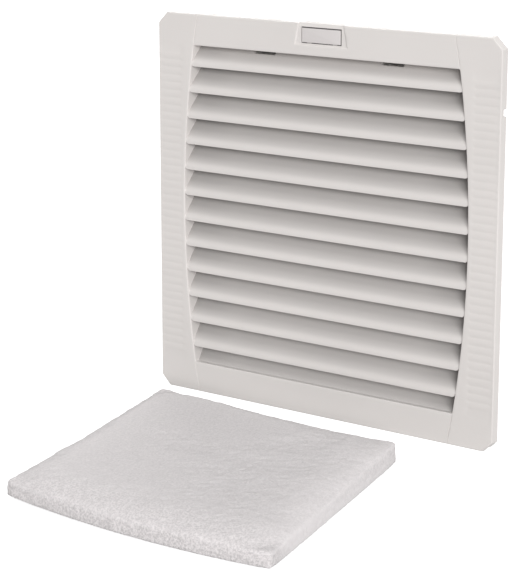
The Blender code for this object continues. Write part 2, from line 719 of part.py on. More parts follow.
def hinge_pins():
    """The two pins that carry the cover."""
    reach = KNUCKLE_WIDTH / 2 + EAR_WIDTH
    for side, word in ((-1, "left"), (1, "right")):
        middle = side * HINGE_SPACING / 2
        pin = rod((middle - reach, HINGE_Y, HINGE_Z), (middle + reach, HINGE_Y, HINGE_Z), HINGE_PIN_RADIUS)
        part(f"hinge_pin_{word}", pin, "steel")


def base_frame():
    """The panel frame: flange, drafted tub, floor with the mat bay, knuckles, catch and clip seats."""
    flange = slab("XZ", [octagon(FLANGE_HALF, CORNER_CUT)], FLANGE_FRONT, FLANGE_BACK)
    frame = part("base_frame", flange, "frame_plastic")
    below = FRONT_HALF + THROUGH
    trim = box((-below, FLANGE_FRONT - THROUGH, -below), (below, THROUGH, FLANGE_BOTTOM))
    cut(frame, tool("flange_trim", trim))
    tub = drafted_block(tub_half(FLANGE_FRONT), tub_half(TUB_DEPTH), TUB_CORNER, FLANGE_FRONT, TUB_DEPTH)
    join(frame, tool("tub", tub))
    mouth = FLANGE_FRONT - THROUGH
    inner_corner = TUB_CORNER - TUB_WALL * (2 - math.sqrt(2))
    hollow = drafted_block(
        tub_half(mouth) - TUB_WALL, tub_half(FLOOR_FRONT) - TUB_WALL, inner_corner, mouth, FLOOR_FRONT,
    )
    cut(frame, tool("tub_hollow", hollow))
    mat_bay(frame)
    shroud_bosses(frame)
    for side in (-1, 1):
        frame_knuckle(frame, side)
    latch_catch(frame)
    for side_x in (-1, 1):
        for side_z in (-1, 1):
            clip_seat(frame, side_x, side_z)


def mat_bay(frame):
    """A raised rim round the air opening, with ribs out to the tub's walls."""
    outer = BAY_HALF + BAY_WALL
    rim = slab("XZ", [square(outer), square(BAY_HALF)], BAY_FRONT, FLOOR_FRONT + FLOOR_THICKNESS / 2)
    join(frame, tool("bay_rim", rim))
    rib_front = BAY_FRONT + BAY_DEPTH / 2
    rib_back = FLOOR_FRONT + FLOOR_THICKNESS / 2
    reach = tub_half(rib_back) - TUB_WALL / 2
    for side in (-1, 1):
        for place in (-BAY_RIB_SPACING / 2, BAY_RIB_SPACING / 2):
            near, far = sorted((side * (outer - BAY_WALL / 2), side * reach))
            low, high = place - BAY_WALL / 2, place + BAY_WALL / 2
            upright = box((low, rib_front, near), (high, rib_back, far))
            level = box((near, rib_front, low), (far, rib_back, high))
            join(frame, tool("bay_rib_upright", upright), tool("bay_rib_level", level))
    half = BAY_HALF - BAY_LEDGE
    window = box((-half, FLOOR_FRONT - THROUGH, -half), (half, TUB_DEPTH + THROUGH, half))
    cut(frame, tool("bay_window", window))


def shroud_bosses(frame):
    """A boss in each corner, outside the bay's rim, for the shroud's screws."""
    tip = FLOOR_FRONT - BOSS_LENGTH
    root = FLOOR_FRONT + FLOOR_THICKNESS / 2
    for x, z in corners(SHROUD_SCREW_SPACING / 2):
        boss = rod((x, tip, z), (x, root, z), SCREW_SHANK + BOSS_WALL)
        hole = rod((x, tip + THROUGH, z), (x, TUB_DEPTH + THROUGH, z), SCREW_SHANK + SEAT, 8)
        join(frame, tool("shroud_boss", boss))
        cut(frame, tool("shroud_boss_hole", hole))


def frame_knuckle(frame, side):
    """An arm below the flange, rounded about the bore for a hinge pin."""
    low = side * HINGE_SPACING / 2 - KNUCKLE_WIDTH / 2
    top = FLANGE_BOTTOM + THROUGH
    start = math.acos((FLANGE_FRONT - HINGE_Y) / KNUCKLE_RADIUS)
    outline = [(FLANGE_FRONT, top)] + arc((HINGE_Y, HINGE_Z), KNUCKLE_RADIUS, start, 2 * math.pi, 12)
    outline.append((HINGE_Y + KNUCKLE_RADIUS, top))
    bore = arc((HINGE_Y, HINGE_Z), HINGE_PIN_RADIUS + RUNNING, 0, 2 * math.pi, 16)[:-1]
    join(frame, tool(f"knuckle_{side}", slab("YZ", [outline, bore], low, low + KNUCKLE_WIDTH)))


def latch_catch(frame):
    """A gap in the flange where the latch works, and the rib that its hooks pass under."""
    half = LATCH_LUG_OUTER + LATCH_LUG_WIDTH
    gap = box((-half, FLANGE_FRONT - THROUGH, LATCH_Z - LATCH_HUB - SEAT), (half, -0.6 * MM, FRONT_HALF))
    cut(frame, tool("latch_gap", gap))
    back = HOOK_REACH - HOOK_NOSE - 2 * SEAT + 0.1 * MM
    low = (-CATCH_WIDTH / 2, back - CATCH_THICKNESS, HOOK_TOP + SEAT)
    high = (CATCH_WIDTH / 2, back, tub_half(back) - TUB_WALL / 2)
    join(frame, tool("latch_catch", box(low, high)))


def clip_seat(frame, side_x, side_z):
    """A window in the tub's side wall for a panel clip, with a boss each side for its pin."""
    pivot_x, pivot_y = side_x * CLIP_PIVOT[0], CLIP_PIVOT[1]
    middle = side_z * CLIP_LEVEL
    half = CLIP_WIDTH / 2 + SEAT
    for way in (-1, 1):
        near = middle + way * half
        far = near + way * CLIP_BOSS
        boss = rod((pivot_x, pivot_y, near), (pivot_x, pivot_y, far), CLIP_HUB + 0.4 * MM)
        join(frame, tool("clip_boss", boss))
    xs = sorted((pivot_x - side_x * (CLIP_HUB + THROUGH), side_x * (TUB_HALF + THROUGH)))
    front = FLANGE_BACK + THROUGH - SEAT
    window = box((xs[0], front, middle - half), (xs[1], pivot_y + CLIP_HUB + THROUGH, middle + half))
    cut(frame, tool("clip_window", window))
    reach = half + CLIP_BOSS + THROUGH
    low, high = (pivot_x, pivot_y, middle - reach), (pivot_x, pivot_y, middle + reach)
    cut(frame, tool("clip_bore", rod(low, high, CLIP_PIN_RADIUS + RUNNING)))


def panel_clips():
    """Four sprung clips, each a hooked lever on a pin: the hook bears on the panel's rear."""
    pivot_x, pivot_y = CLIP_PIVOT
    tip = CUTOUT_SIDE / 2 + CLIP_BITE
    outline = [
        (pivot_x - 2 * MM, pivot_y - 0.5 * MM), (pivot_x - 1 * MM, pivot_y + 1.5 * MM),
        (pivot_x + 2.2 * MM, pivot_y + 0.4 * MM), (pivot_x + 4.6 * MM, pivot_y - 5 * MM),
        (tip, CLIP_GRIP + 2 * MM), (tip, CLIP_GRIP),
        (pivot_x + 4 * MM, CLIP_GRIP), (pivot_x + 2 * MM, CLIP_GRIP + 4 * MM),
    ]
    number = 0
    for side_x in (-1, 1):
        for side_z in (-1, 1):
            number += 1
            middle = side_z * CLIP_LEVEL
            low, high = middle - CLIP_WIDTH / 2, middle + CLIP_WIDTH / 2
            loop = [(side_x * x, y) for x, y in outline]
            x = side_x * pivot_x
            blank = slab("XY", [loop], low, high)
            clip = part(f"panel_clip_{number}", blank, "black_plastic", (x, pivot_y, middle))
            hub = rod((x, pivot_y, low), (x, pivot_y, high), CLIP_HUB)
            eye = rod((x, pivot_y, low - THROUGH), (x, pivot_y, high + THROUGH), CLIP_PIN_RADIUS + RUNNING)
            join(clip, tool(f"clip_hub_{number}", hub))
            cut(clip, tool(f"clip_eye_{number}", eye))
            reach = CLIP_WIDTH / 2 + SEAT + CLIP_BOSS
            pin = rod((x, pivot_y, middle - reach), (x, pivot_y, middle + reach), CLIP_PIN_RADIUS)
            part(f"clip_pin_{number}", pin, "steel")


def panel_gasket():
    """A foam ring between the flange and the panel."""
    inner = octagon(GASKET_INNER, TUB_CORNER)
    outer = octagon(GASKET_OUTER, TUB_CORNER + (GASKET_OUTER - GASKET_INNER) * (2 - math.sqrt(2)))
    part("panel_gasket", slab("XZ", [outer, inner], -GASKET_THICKNESS, 0), "gasket_foam")


def support_grid():
    """A square grid that lies on the bay's ledge and carries the mat."""
    grid = part("support_grid", box(
        (-BAY_HALF + SEAT, GRID_FRONT, -BAY_HALF + SEAT), (BAY_HALF - SEAT, GRID_BACK, BAY_HALF - SEAT),
    ), "frame_plastic")
    start = -GRID_PITCH * (GRID_CELLS - 1) / 2
    half = (GRID_PITCH - GRID_BAR) / 2
    cell = tool("grid_cell", box(
        (start - half, GRID_FRONT - THROUGH, start - half), (start + half, GRID_BACK + THROUGH, start + half),
    ))
    for name, step in (("across", (GRID_PITCH, 0, 0)), ("up", (0, 0, GRID_PITCH))):
        row = cell.modifiers.new(name, "ARRAY")
        row.count = GRID_CELLS
        row.use_relative_offset = False
        row.use_constant_offset = True
        row.constant_offset_displace = step
    cut(grid, cell)


def filter_mat():
    """The mat as a plain rounded slab, lying in front of the frame on the level of its bottom edge."""
    half = MAT_SIDE / 2
    bottom = -FRONT_HALF
    mesh = box((-half, -half, bottom), (half, half, bottom + MAT_THICKNESS), MAT_ROUND, 3)
    turn = Matrix.Rotation(math.radians(MAT_TURN), 4, "Z")
    mesh.transform(Matrix.Translation((*MAT_CENTRE, 0)) @ turn)
    part("filter_mat", mesh, "mat_fleece")


def corners(half):
    """The four corners of a square about the fan's axis."""
    return [(sx * half, sz * half) for sx in (-1, 1) for sz in (-1, 1)]


def nozzle_profile():
    """The inlet nozzle's wall: a quarter ellipse from the plate into the throat, and its parallel."""
    steps = 4
    inner = []
    outer = []
    for i in range(steps + 1):
        angle = math.pi / 2 * i / steps
        radius = NOZZLE_THROAT + (NOZZLE_MOUTH - NOZZLE_THROAT) * (1 - math.sin(angle))
        y = NOZZLE_BACK - NOZZLE_LENGTH * math.cos(angle)
        inner.append((radius, y))
        outer.append((radius + NOZZLE_WALL * math.sin(angle), y + NOZZLE_WALL * math.cos(angle)))
    return inner + outer[::-1]


def fan_shroud():
    """The plate behind the bay with the round nozzle, posts for the fan and holes for its own screws."""
    plate = slab("XZ", [octagon(SHROUD_HALF, 6 * MM)], SHROUD_FRONT, SHROUD_BACK)
    shroud = part("fan_shroud", plate, "frame_plastic")
    mouth = rod((0, SHROUD_FRONT - THROUGH, 0), (0, SHROUD_BACK + THROUGH, 0), NOZZLE_MOUTH - THROUGH, 30)
    cut(shroud, tool("shroud_mouth", mouth))
    join(shroud, tool("nozzle", turned(nozzle_profile(), 30)))
    for x, z in corners(LUG_SPACING / 2):
        post = rod((x, SHROUD_BACK - THROUGH, z), (x, NOZZLE_BACK, z), POST_RADIUS)
        hole = rod((x, SHROUD_BACK + THROUGH, z), (x, NOZZLE_BACK + THROUGH, z), SCREW_SHANK + SEAT, 8)
        join(shroud, tool("fan_post", post))
        cut(shroud, tool("fan_post_hole", hole))
    for x, z in corners(SHROUD_SCREW_SPACING / 2):
        hole = rod((x, SHROUD_FRONT - THROUGH, z), (x, SHROUD_BACK + THROUGH, z), SCREW_SHANK + SEAT, 8)
        cut(shroud, tool("shroud_hole", hole))


def fan_housing():
    """The cast ring with its waist, lugs, four-armed spider and bearing tube."""
    waist = FAN_BORE + FAN_WALL
    profile = [
        (FAN_BORE, FAN_FRONT), (FAN_BORE, FAN_BACK), (FAN_OUTER, FAN_BACK), (FAN_OUTER, FAN_BACK - FAN_LIP),
        (waist, FAN_BACK - 2 * FAN_LIP),
        (waist, FAN_FRONT + 2 * FAN_LIP), (FAN_OUTER, FAN_FRONT + FAN_LIP), (FAN_OUTER, FAN_FRONT),
    ]
    housing = part("fan_housing", turned(profile, 30), "cast_aluminium")
    hub = rod((0, STRUT_FRONT - 0.6 * MM, 0), (0, FAN_BACK, 0), SPIDER_HUB, 20)
    tube = rod((0, TUBE_FRONT, 0), (0, STRUT_FRONT, 0), TUBE_RADIUS, 16)
    reach = FAN_BORE + FAN_WALL / 2
    half = STRUT_WIDTH / 2
    back = STRUT_FRONT + STRUT_DEPTH
    level = box((-reach, STRUT_FRONT, -half), (reach, back, half))
    upright = box((-half, STRUT_FRONT, -reach), (half, back, reach))
    join(housing, tool("strut_level", level), tool("strut_upright", upright))
    join(housing, tool("spider_hub", hub), tool("bearing_tube", tube))
    bore = rod((0, TUBE_FRONT - THROUGH, 0), (0, FAN_BACK - 3 * MM, 0), TUBE_BORE, 16)
    cut(housing, tool("tube_bore", bore))
    for x, z in corners(LUG_SPACING / 2):
        for front in (FAN_FRONT, FAN_BACK - FAN_LIP):
            lug = rod((x, front, z), (x, front + FAN_LIP, z), LUG_RADIUS)
            hole = rod((x, front - THROUGH, z), (x, front + FAN_LIP + THROUGH, z), SCREW_SHANK + SEAT, 8)
            join(housing, tool("fan_lug", lug))
            cut(housing, tool("fan_lug_hole", hole))
    slack = LEAD_RADIUS + 2 * SEAT
    low = (LEAD_X - slack, STRUT_FRONT, -FAN_OUTER - THROUGH)
    high = (LEAD_X + slack, FAN_BACK + THROUGH, -FAN_BORE + THROUGH)
    notch = box(low, high)
    cut(housing, tool("lead_notch", notch))


def around(radius, index, count):
    """A place on a circle about the fan's axis."""
    angle = 2 * math.pi * index / count
    return radius * math.cos(angle), radius * math.sin(angle)


def motor():
    """The stator and bearings that stand, and the shaft, cup and ring that turn."""
    inner = TUBE_RADIUS + SEAT
    core_profile = [
        (inner, STATOR_FRONT), (STATOR_RADIUS, STATOR_FRONT),
        (STATOR_RADIUS, STATOR_BACK), (inner, STATOR_BACK),
    ]
    core = part("stator_core", turned(core_profile, 24), "lamination_steel")
    low, high = SLOT_CIRCLE - 6 * MM, SLOT_CIRCLE + 7 * MM
    soft = 1.5 * MM
    front_ring = STATOR_FRONT - SEAT
    rear_ring = STATOR_BACK + SEAT
    rings = []
    for near, far in ((front_ring, front_ring - WINDING_LENGTH), (rear_ring, rear_ring + WINDING_LENGTH)):
        way = soft if far > near else -soft
        profile = [
            (low, near), (high, near), (high, far - way),
            (high - soft, far), (low + soft, far), (low, far - way),
        ]
        rings.append(turned(profile, 20))
    windings = part("stator_windings", rings[0], "copper")
    join(windings, tool("winding_rear", rings[1]))
    for index in range(SLOT_COUNT):
        x, z = around(SLOT_CIRCLE, index, SLOT_COUNT)
        slot = rod((x, STATOR_FRONT - THROUGH, z), (x, STATOR_BACK + THROUGH, z), SLOT_RADIUS)
        bundle = rod((x, front_ring - THROUGH, z), (x, rear_ring + THROUGH, z), SLOT_RADIUS - 1.5 * SEAT, 8)
        cut(core, tool("stator_slot", slot))
        join(windings, tool("winding_bundle", bundle))
    tube_back = FAN_BACK - 3 * MM
    for word, front in (("front", TUBE_FRONT + THROUGH), ("rear", tube_back - BEARING_WIDTH - SEAT)):
        outer, bore = TUBE_BORE - RUNNING, SHAFT_RADIUS + RUNNING
        back = front + BEARING_WIDTH
        profile = [(bore, front), (outer, front), (outer, back), (bore, back)]
        part(f"bearing_{word}", turned(profile, 16), "steel")
    shaft_profile = [
        (0, ROTOR_FRONT + SEAT), (SHAFT_RADIUS, ROTOR_FRONT + SEAT),
        (SHAFT_RADIUS, tube_back - SEAT), (0, tube_back - SEAT),
    ]
    part("motor_shaft", turned(shaft_profile, 16), "steel")
    skirt = ROTOR_RADIUS - ROTOR_WALL
    boss = 6 * MM
    bore = SHAFT_RADIUS + RUNNING
    cup_profile = [
        (bore, ROTOR_FRONT), (ROTOR_RADIUS - 1.5 * MM, ROTOR_FRONT), (ROTOR_RADIUS, ROTOR_FRONT + 1.5 * MM),
        (ROTOR_RADIUS, ROTOR_FRONT + ROTOR_LENGTH), (skirt, ROTOR_FRONT + ROTOR_LENGTH),
        (skirt, ROTOR_FRONT + ROTOR_WALL),
        (boss, ROTOR_FRONT + ROTOR_WALL), (boss, TUBE_FRONT - 3 * MM), (bore, TUBE_FRONT - 3 * MM),
    ]
    part("rotor_cup", turned(cup_profile, 26), "steel")
    ring_inner = STATOR_RADIUS + AIR_GAP
    ring_outer = skirt - SEAT
    ring_profile = [
        (ring_inner, STATOR_FRONT - THROUGH), (ring_outer, STATOR_FRONT - THROUGH),
        (ring_outer, STATOR_BACK + THROUGH), (ring_inner, STATOR_BACK + THROUGH),
    ]
    part("rotor_ring", turned(ring_profile, 26), "lamination_steel")


def vane_surface():
    """One swept, twisted vane as an open surface from the hub's wall to the tip."""
    across, along = 3, 4
    root = HUB_RADIUS - 1.1 * MM
    tip = FAN_BORE - VANE_TIP_GAP
    middle = ROTOR_FRONT + ROTOR_LENGTH / 2 + 1 * MM
    rows = []
    solid = bmesh.new()
    for i in range(across + 1):
        u = i / across
        radius = root + (tip - root) * u
        chord = VANE_ROOT_CHORD + (VANE_TIP_CHORD - VANE_ROOT_CHORD) * u
        pitch = math.radians(VANE_ROOT_PITCH + (VANE_TIP_PITCH - VANE_ROOT_PITCH) * u)
        sweep = math.radians(VANE_SWEEP) * u ** 2
        row = []
        for j in range(along + 1):
            s = j / along - 0.5
            camber = VANE_CAMBER * chord * (1 - 4 * s ** 2)
            y = middle + chord * s * math.sin(pitch) - camber * math.cos(pitch)
            arc = chord * s * math.cos(pitch) + camber * math.sin(pitch)
            angle = sweep + arc / radius
            row.append(solid.verts.new((radius * math.cos(angle), y, radius * math.sin(angle))))
        rows.append(row)
    for first, second in zip(rows, rows[1:]):
        for j in range(along):
            solid.faces.new((first[j], first[j + 1], second[j + 1], second[j]))
    return mesh_of(solid, "vane")


def impeller():
    """The hub ring round the rotor cup, with seven swept vanes."""
    inner = ROTOR_RADIUS + SEAT
    front = ROTOR_FRONT + 1 * MM
    back = ROTOR_FRONT + ROTOR_LENGTH + 1 * MM
    profile = [
        (inner, front), (HUB_RADIUS - 0.8 * MM, front), (HUB_RADIUS, front + 1.5 * MM),
        (HUB_RADIUS, back), (inner, back),
    ]
    wheel = part("impeller", turned(profile, 28), "black_plastic")
    vane = tool("vane", vane_surface())
    wall = vane.modifiers.new("wall", "SOLIDIFY")
    wall.thickness = VANE_THICKNESS
    wall.offset = 0
    step = bpy.data.objects.new("vane_step", None)
    step.rotation_euler = (0, 2 * math.pi / VANE_COUNT, 0)
    bpy.data.collections["cutters"].objects.link(step)
    ring = vane.modifiers.new("ring", "ARRAY")
    ring.count = VANE_COUNT
    ring.use_relative_offset = False
    ring.use_object_offset = True
    ring.offset_object = step
    join(wheel, vane)


def circle_profile(radius, y, wire_radius, sides=5):
    """A wire's round section in (radius, y)."""
    places = [2 * math.pi * (i + 0.5) / sides for i in range(sides)]
    return [(radius + wire_radius * math.cos(a), y + wire_radius * math.sin(a)) for a in places]


def finger_guard():
    """Wire rings on four spokes, each spoke ending in an eyelet over a lug."""
    spoke_y = FAN_BACK + SEAT + GUARD_WIRE
    ring_y = spoke_y + GUARD_WIRE + GUARD_RING_WIRE - 0.4 * MM
    first = turned(circle_profile(GUARD_FIRST_RING, ring_y, GUARD_RING_WIRE), 20)
    guard = part("finger_guard", first, "steel")
    for index in range(1, GUARD_RINGS):
        radius = GUARD_FIRST_RING + GUARD_RING_PITCH * index
        join(guard, tool("guard_ring", turned(circle_profile(radius, ring_y, GUARD_RING_WIRE), 20)))
    for x, z in corners(LUG_SPACING / 2):
        outward = Vector((x, 0, z)).normalized()
        seat = Vector((x, spoke_y, z))
        inner = outward * (GUARD_FIRST_RING - 2 * MM) + Vector((0, spoke_y, 0))
        spoke = rod(inner, seat - outward * (EYELET_RADIUS - 1 * MM), GUARD_WIRE, 6)
        hole = SCREW_SHANK + SEAT
        eyelet = [
            (hole, spoke_y - EYELET_HALF), (EYELET_RADIUS, spoke_y - EYELET_HALF),
            (EYELET_RADIUS, spoke_y + EYELET_HALF), (hole, spoke_y + EYELET_HALF),
        ]
        join(guard, tool("guard_spoke", spoke), tool("guard_eyelet", turned(eyelet, 12, (x, z))))


def screw(name, place, seat, length):
    """A pan-headed screw along Y whose head bears on the seat from behind."""
    shoulder = seat + SEAT
    top = shoulder + SCREW_HEAD_HEIGHT
    tip = shoulder - length
    profile = [
        (0, top), (SCREW_HEAD - 0.6 * MM, top), (SCREW_HEAD, shoulder), (SCREW_SHANK, shoulder),
        (SCREW_SHANK, tip), (0, tip),
    ]
    part(name, turned(profile, 8, place), "steel")


def screws():
    """The screws of the shroud, the fan and the guard."""
    for number, (x, z) in enumerate(corners(SHROUD_SCREW_SPACING / 2), 1):
        screw(f"shroud_screw_{number}", (x, z), SHROUD_BACK, 10 * MM)
    guard_seat = FAN_BACK + SEAT + GUARD_WIRE + EYELET_HALF
    for number, place in enumerate(corners(LUG_SPACING / 2), 1):
        screw(f"fan_screw_{number}", place, FAN_FRONT + FAN_LIP, 14 * MM)
        screw(f"guard_screw_{number}", place, guard_seat, 7 * MM)


def pole_places():
    first = -POLE_PITCH * (POLE_COUNT - 1) / 2
    return [first + POLE_PITCH * i for i in range(POLE_COUNT)]


def terminal_block():
    """The block on the tub's rear: wire entries below, screw wells behind, the lead's hole on top."""
    half = BLOCK_WIDTH / 2
    bottom = BLOCK_TOP - BLOCK_HEIGHT
    body = box((-half, BLOCK_FRONT, bottom), (half, BLOCK_BACK, BLOCK_TOP), 0.8 * MM, 1)
    block = part("terminal_block", body, "terminal_plastic")
    entry_front = BLOCK_FRONT + ENTRY_FRONT
    entry_back = entry_front + ENTRY_DEPTH
    well_z = bottom + 7 * MM
    well_floor = BLOCK_BACK - 4.5 * MM
    for number, x in enumerate(pole_places(), 1):
        low, high = x - ENTRY_WIDTH / 2, x + ENTRY_WIDTH / 2
        entry = box((low, entry_front, bottom - THROUGH), (high, entry_back, bottom + ENTRY_HEIGHT - THROUGH))
        well = rod((x, well_floor, well_z), (x, BLOCK_BACK + THROUGH, well_z), WELL_RADIUS)
        throat = rod((x, entry_back - THROUGH, well_z), (x, well_floor + THROUGH, well_z), 1.6 * MM)
        cut(block, tool("wire_entry", entry), tool("screw_well", well), tool("screw_throat", throat))
        shoulder = well_floor + SEAT
        top = shoulder + 2 * MM
        tip = entry_back + SEAT
        head, shank = 2.7 * MM, 1.3 * MM
        profile = [(0, top), (head, top), (head, shoulder), (shank, shoulder), (shank, tip), (0, tip)]
        part(f"terminal_screw_{number}", turned(profile, 8, (x, well_z)), "steel")
    lead_y = (entry_front + entry_back) / 2
    low, high = (LEAD_X, lead_y, BLOCK_TOP - LEAD_SEAT - SEAT), (LEAD_X, lead_y, BLOCK_TOP + THROUGH)
    hole = rod(low, high, LEAD_RADIUS + 1.5 * SEAT)
    cut(block, tool("lead_hole", hole))


def smooth_route(points, spacing):
    """Points every spacing along a smooth curve through a route's own points."""
    ends = [2 * points[0] - points[1]] + points + [2 * points[-1] - points[-2]]
    dense = []
    for a, b, c, d in zip(ends, ends[1:], ends[2:], ends[3:]):
        for i in range(40):
            t = i / 40
            bend = (2 * a - 5 * b + 4 * c - d) * t ** 2 + (3 * b - a - 3 * c + d) * t ** 3
            dense.append(0.5 * (2 * b + (c - a) * t + bend))
    dense.append(points[-1])
    route = [dense[0]]
    for point in dense:
        if (point - route[-1]).length >= spacing:
            route.append(point)
    route[-1] = dense[-1]
    return route


def motor_lead():
    """The lead: out beside the lower strut, through the ring's notch, forward, then down into the block."""
    y = STRUT_FRONT + LEAD_RADIUS + SEAT
    down = -FAN_OUTER
    hole_y = BLOCK_FRONT + ENTRY_FRONT + ENTRY_DEPTH / 2
    stops = [
        (y, -SPIDER_HUB - 1 * MM), (y, -SPIDER_HUB - LEAD_FIRST), (y, -SPIDER_HUB - LEAD_SECOND),
        (y, down + 3 * MM), (y - 0.2 * MM, down - 3.5 * MM), (y - 5 * MM, down - 8 * MM),
        (y - 22 * MM, down - 9 * MM),
        (y - 38 * MM, down - 10.5 * MM), (hole_y + 9 * MM, down - 16 * MM),
        (hole_y + 1.5 * MM, BLOCK_TOP + 9 * MM), (hole_y, BLOCK_TOP + 2 * MM),
    ]
    points = smooth_route([Vector((LEAD_X, y, z)) for y, z in stops], 3.5 * LEAD_RADIUS)
    points.append(Vector((LEAD_X, hole_y, BLOCK_TOP - LEAD_SEAT)))
    wire("motor_lead", points, LEAD_RADIUS, "lead_jacket")


def main():
    for thing in list(bpy.data.objects):
        bpy.data.objects.remove(thing, do_unlink=True)
    for name in ("cabinet_filter_fan", "cutters"):
        collection = bpy.data.collections.new(name)
        bpy.context.scene.collection.children.link(collection)
    louvre_cover()
    latch()
    hinge_pins()
    base_frame()
    panel_gasket()
    panel_clips()
    support_grid()
    filter_mat()
    fan_shroud()
    fan_housing()
    motor()
    impeller()
    finger_guard()
    screws()
    terminal_block()
    motor_lead()


main()
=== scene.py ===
"""Cabinet filter fan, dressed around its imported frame.

The origin is the centre of the panel cut-out, +Z is up and -Y is the front. Shapes are worked out in
millimetres as numpy arrays and reach Blender in metres. The file is laid out as an add-on: sizes and colours
in property groups, one operator for each piece or group of like pieces, and a panel that lists them.
"""

import json
import math

import bmesh
import bpy
import numpy as np
from bpy.props import FloatProperty, FloatVectorProperty, IntProperty, PointerProperty
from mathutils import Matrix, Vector


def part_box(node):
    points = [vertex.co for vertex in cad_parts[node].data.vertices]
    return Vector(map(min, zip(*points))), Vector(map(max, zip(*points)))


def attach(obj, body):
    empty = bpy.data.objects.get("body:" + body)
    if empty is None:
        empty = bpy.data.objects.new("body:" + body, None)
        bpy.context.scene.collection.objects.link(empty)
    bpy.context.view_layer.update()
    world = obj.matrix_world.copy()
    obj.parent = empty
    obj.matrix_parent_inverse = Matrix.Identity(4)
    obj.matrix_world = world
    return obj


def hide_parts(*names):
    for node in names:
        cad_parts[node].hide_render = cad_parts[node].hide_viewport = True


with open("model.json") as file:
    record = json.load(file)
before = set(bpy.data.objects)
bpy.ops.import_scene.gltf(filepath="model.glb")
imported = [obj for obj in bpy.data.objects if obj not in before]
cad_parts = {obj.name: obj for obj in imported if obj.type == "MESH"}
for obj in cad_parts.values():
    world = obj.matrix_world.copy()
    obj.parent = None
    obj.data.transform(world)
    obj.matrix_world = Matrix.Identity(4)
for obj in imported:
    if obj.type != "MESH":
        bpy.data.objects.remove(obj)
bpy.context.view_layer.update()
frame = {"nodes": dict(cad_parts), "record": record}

bl_info = {
    "name": "Cabinet filter fan",
    "version": (1, 0, 0),
    "blender": (4, 5, 0),
    "location": "3D View > Sidebar > Filter Fan",
    "description": "Builds the louvred cover, the fleece mat and the fan of a cabinet filter fan",
    "category": "Object",
}

MM = 0.001
COVER_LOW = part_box("louvre_cover")[0]
MAT_LOW, MAT_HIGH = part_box("filter_mat")


# Property groups

def length(name, default, description):
    """A length in metres that a user may change."""
    return FloatProperty(name=name, description=description, default=default, unit="LENGTH")


def slant(name, degrees, description):
    """An angle that a user may change, given here in degrees."""
    return FloatProperty(name=name, description=description, default=math.radians(degrees), subtype="ANGLE")


def tint(name, default, description):
    """A colour that a user may change."""
    return FloatVectorProperty(name=name, description=description, default=default, subtype="COLOR")


def power(name, default, description):
    """A lamp's power in watts."""
    return FloatProperty(name=name, description=description, default=default, unit="POWER")


class CoverSizes(bpy.types.PropertyGroup):
    """The louvred front moulding."""
    side: length("Front side", 0.320, "Width and height of the front face")
    face: length("Face level", COVER_LOW.y, "Place of the front face along Y")
    depth: length("Skirt depth", 0.0067, "From the face to the skirt's rear edge")
    draft: length("Draft", 0.001, "How far the skirt leans out at its rear")
    corner: length("Corner cut", 0.0085, "Length cut from each corner")
    opening: length("Opening", 0.2692, "Height of the louvre opening and its width in the middle")
    bulge: length("Bulge", 0.0102, "How much narrower the opening is at its top and bottom")
    wall: length("Wall", 0.002, "Thickness of the walls")
    edge: length("Edge", 0.0006, "Rounding of the outer edge")
    rib_pitch: length("Rib pitch", 0.0064, "Height of one rib on the side bands")
    rib_rise: length("Rib rise", 0.00024, "Depth of the valleys between the ribs")
    recess: length("Recess", 0.001, "Depth of the button's recess")


class BladeSizes(bpy.types.PropertyGroup):
    """The louvre's blades."""
    count: IntProperty(name="Blades", description="Number of blades", default=13)
    pitch: length("Pitch", 0.02165, "From blade to blade")
    top_tip: length("Top tip", 0.117, "Height of the top blade's lower edge")
    thickness: length("Thickness", 0.002, "Thickness of a blade")
    set_back: length("Set back", 0.0004, "From the face to a blade's lip")
    lip: length("Lip", 0.0015, "Height of the steep lip")
    lip_angle: slant("Lip angle", 84, "Slope of the lip")
    slope: slant("Slope", 48, "Slope of the blade behind its bend")
    bend: length("Bend radius", 0.0085, "Radius between the lip and the slope")


class MatSizes(bpy.types.PropertyGroup):
    """The loose fleece mat."""
    thickness: length("Thickness", MAT_HIGH.z - MAT_LOW.z, "Thickness in the middle")
    rim: length("Rim", 0.0105, "Height of the cut side")
    crown: length("Crown", 0.042, "Width of the strip over which the top rises")
    belly: length("Belly", 0.009, "How far the near side bulges")
    cell: length("Cell", 0.003, "Size of the cells before subdivision")
    loft: length("Loft", 0.0015, "Most that a point may move while the fleece swells")


class Colours(bpy.types.PropertyGroup):
    """The finishes' colours."""
    cover: tint("Cover", (0.65, 0.62, 0.602), "Moulded cover")
    button: tint("Button", (0.61, 0.579, 0.572), "Moulded button")
    frame: tint("Frame", (0.60, 0.58, 0.555), "Moulded panel frame")
    fleece: tint("Fleece", (0.64, 0.610, 0.613), "Fibres of the mat")


class StageSettings(bpy.types.PropertyGroup):
    """Floor, light and camera."""
    floor: length("Floor level", MAT_LOW.z, "Height of the floor")
    sky: FloatProperty(name="Sky", description="Strength of the even light", default=0.37)
    key: power("Key", 673.0, "Power of the main lamp")
    back: power("Back light", 38.0, "Power of the lamp behind")
    top: power("Top light", 28.0, "Power of the lamp overhead")
    lens: FloatProperty(name="Lens", description="Focal length in millimetres", default=121.12)


# Surfaces

def grid_faces(rows, columns, wrap_rows):
    """The four corners of each cell of a grid of closed rows, where the last row may be joined to the first."""
    r, c = np.meshgrid(np.arange(rows - (not wrap_rows)), np.arange(columns), indexing="ij")
    r, c = r.ravel(), c.ravel()
    r2, c2 = (r + 1) % rows, (c + 1) % columns
    return np.stack([r * columns + c, r2 * columns + c, r2 * columns + c2, r * columns + c2], axis=1).tolist()


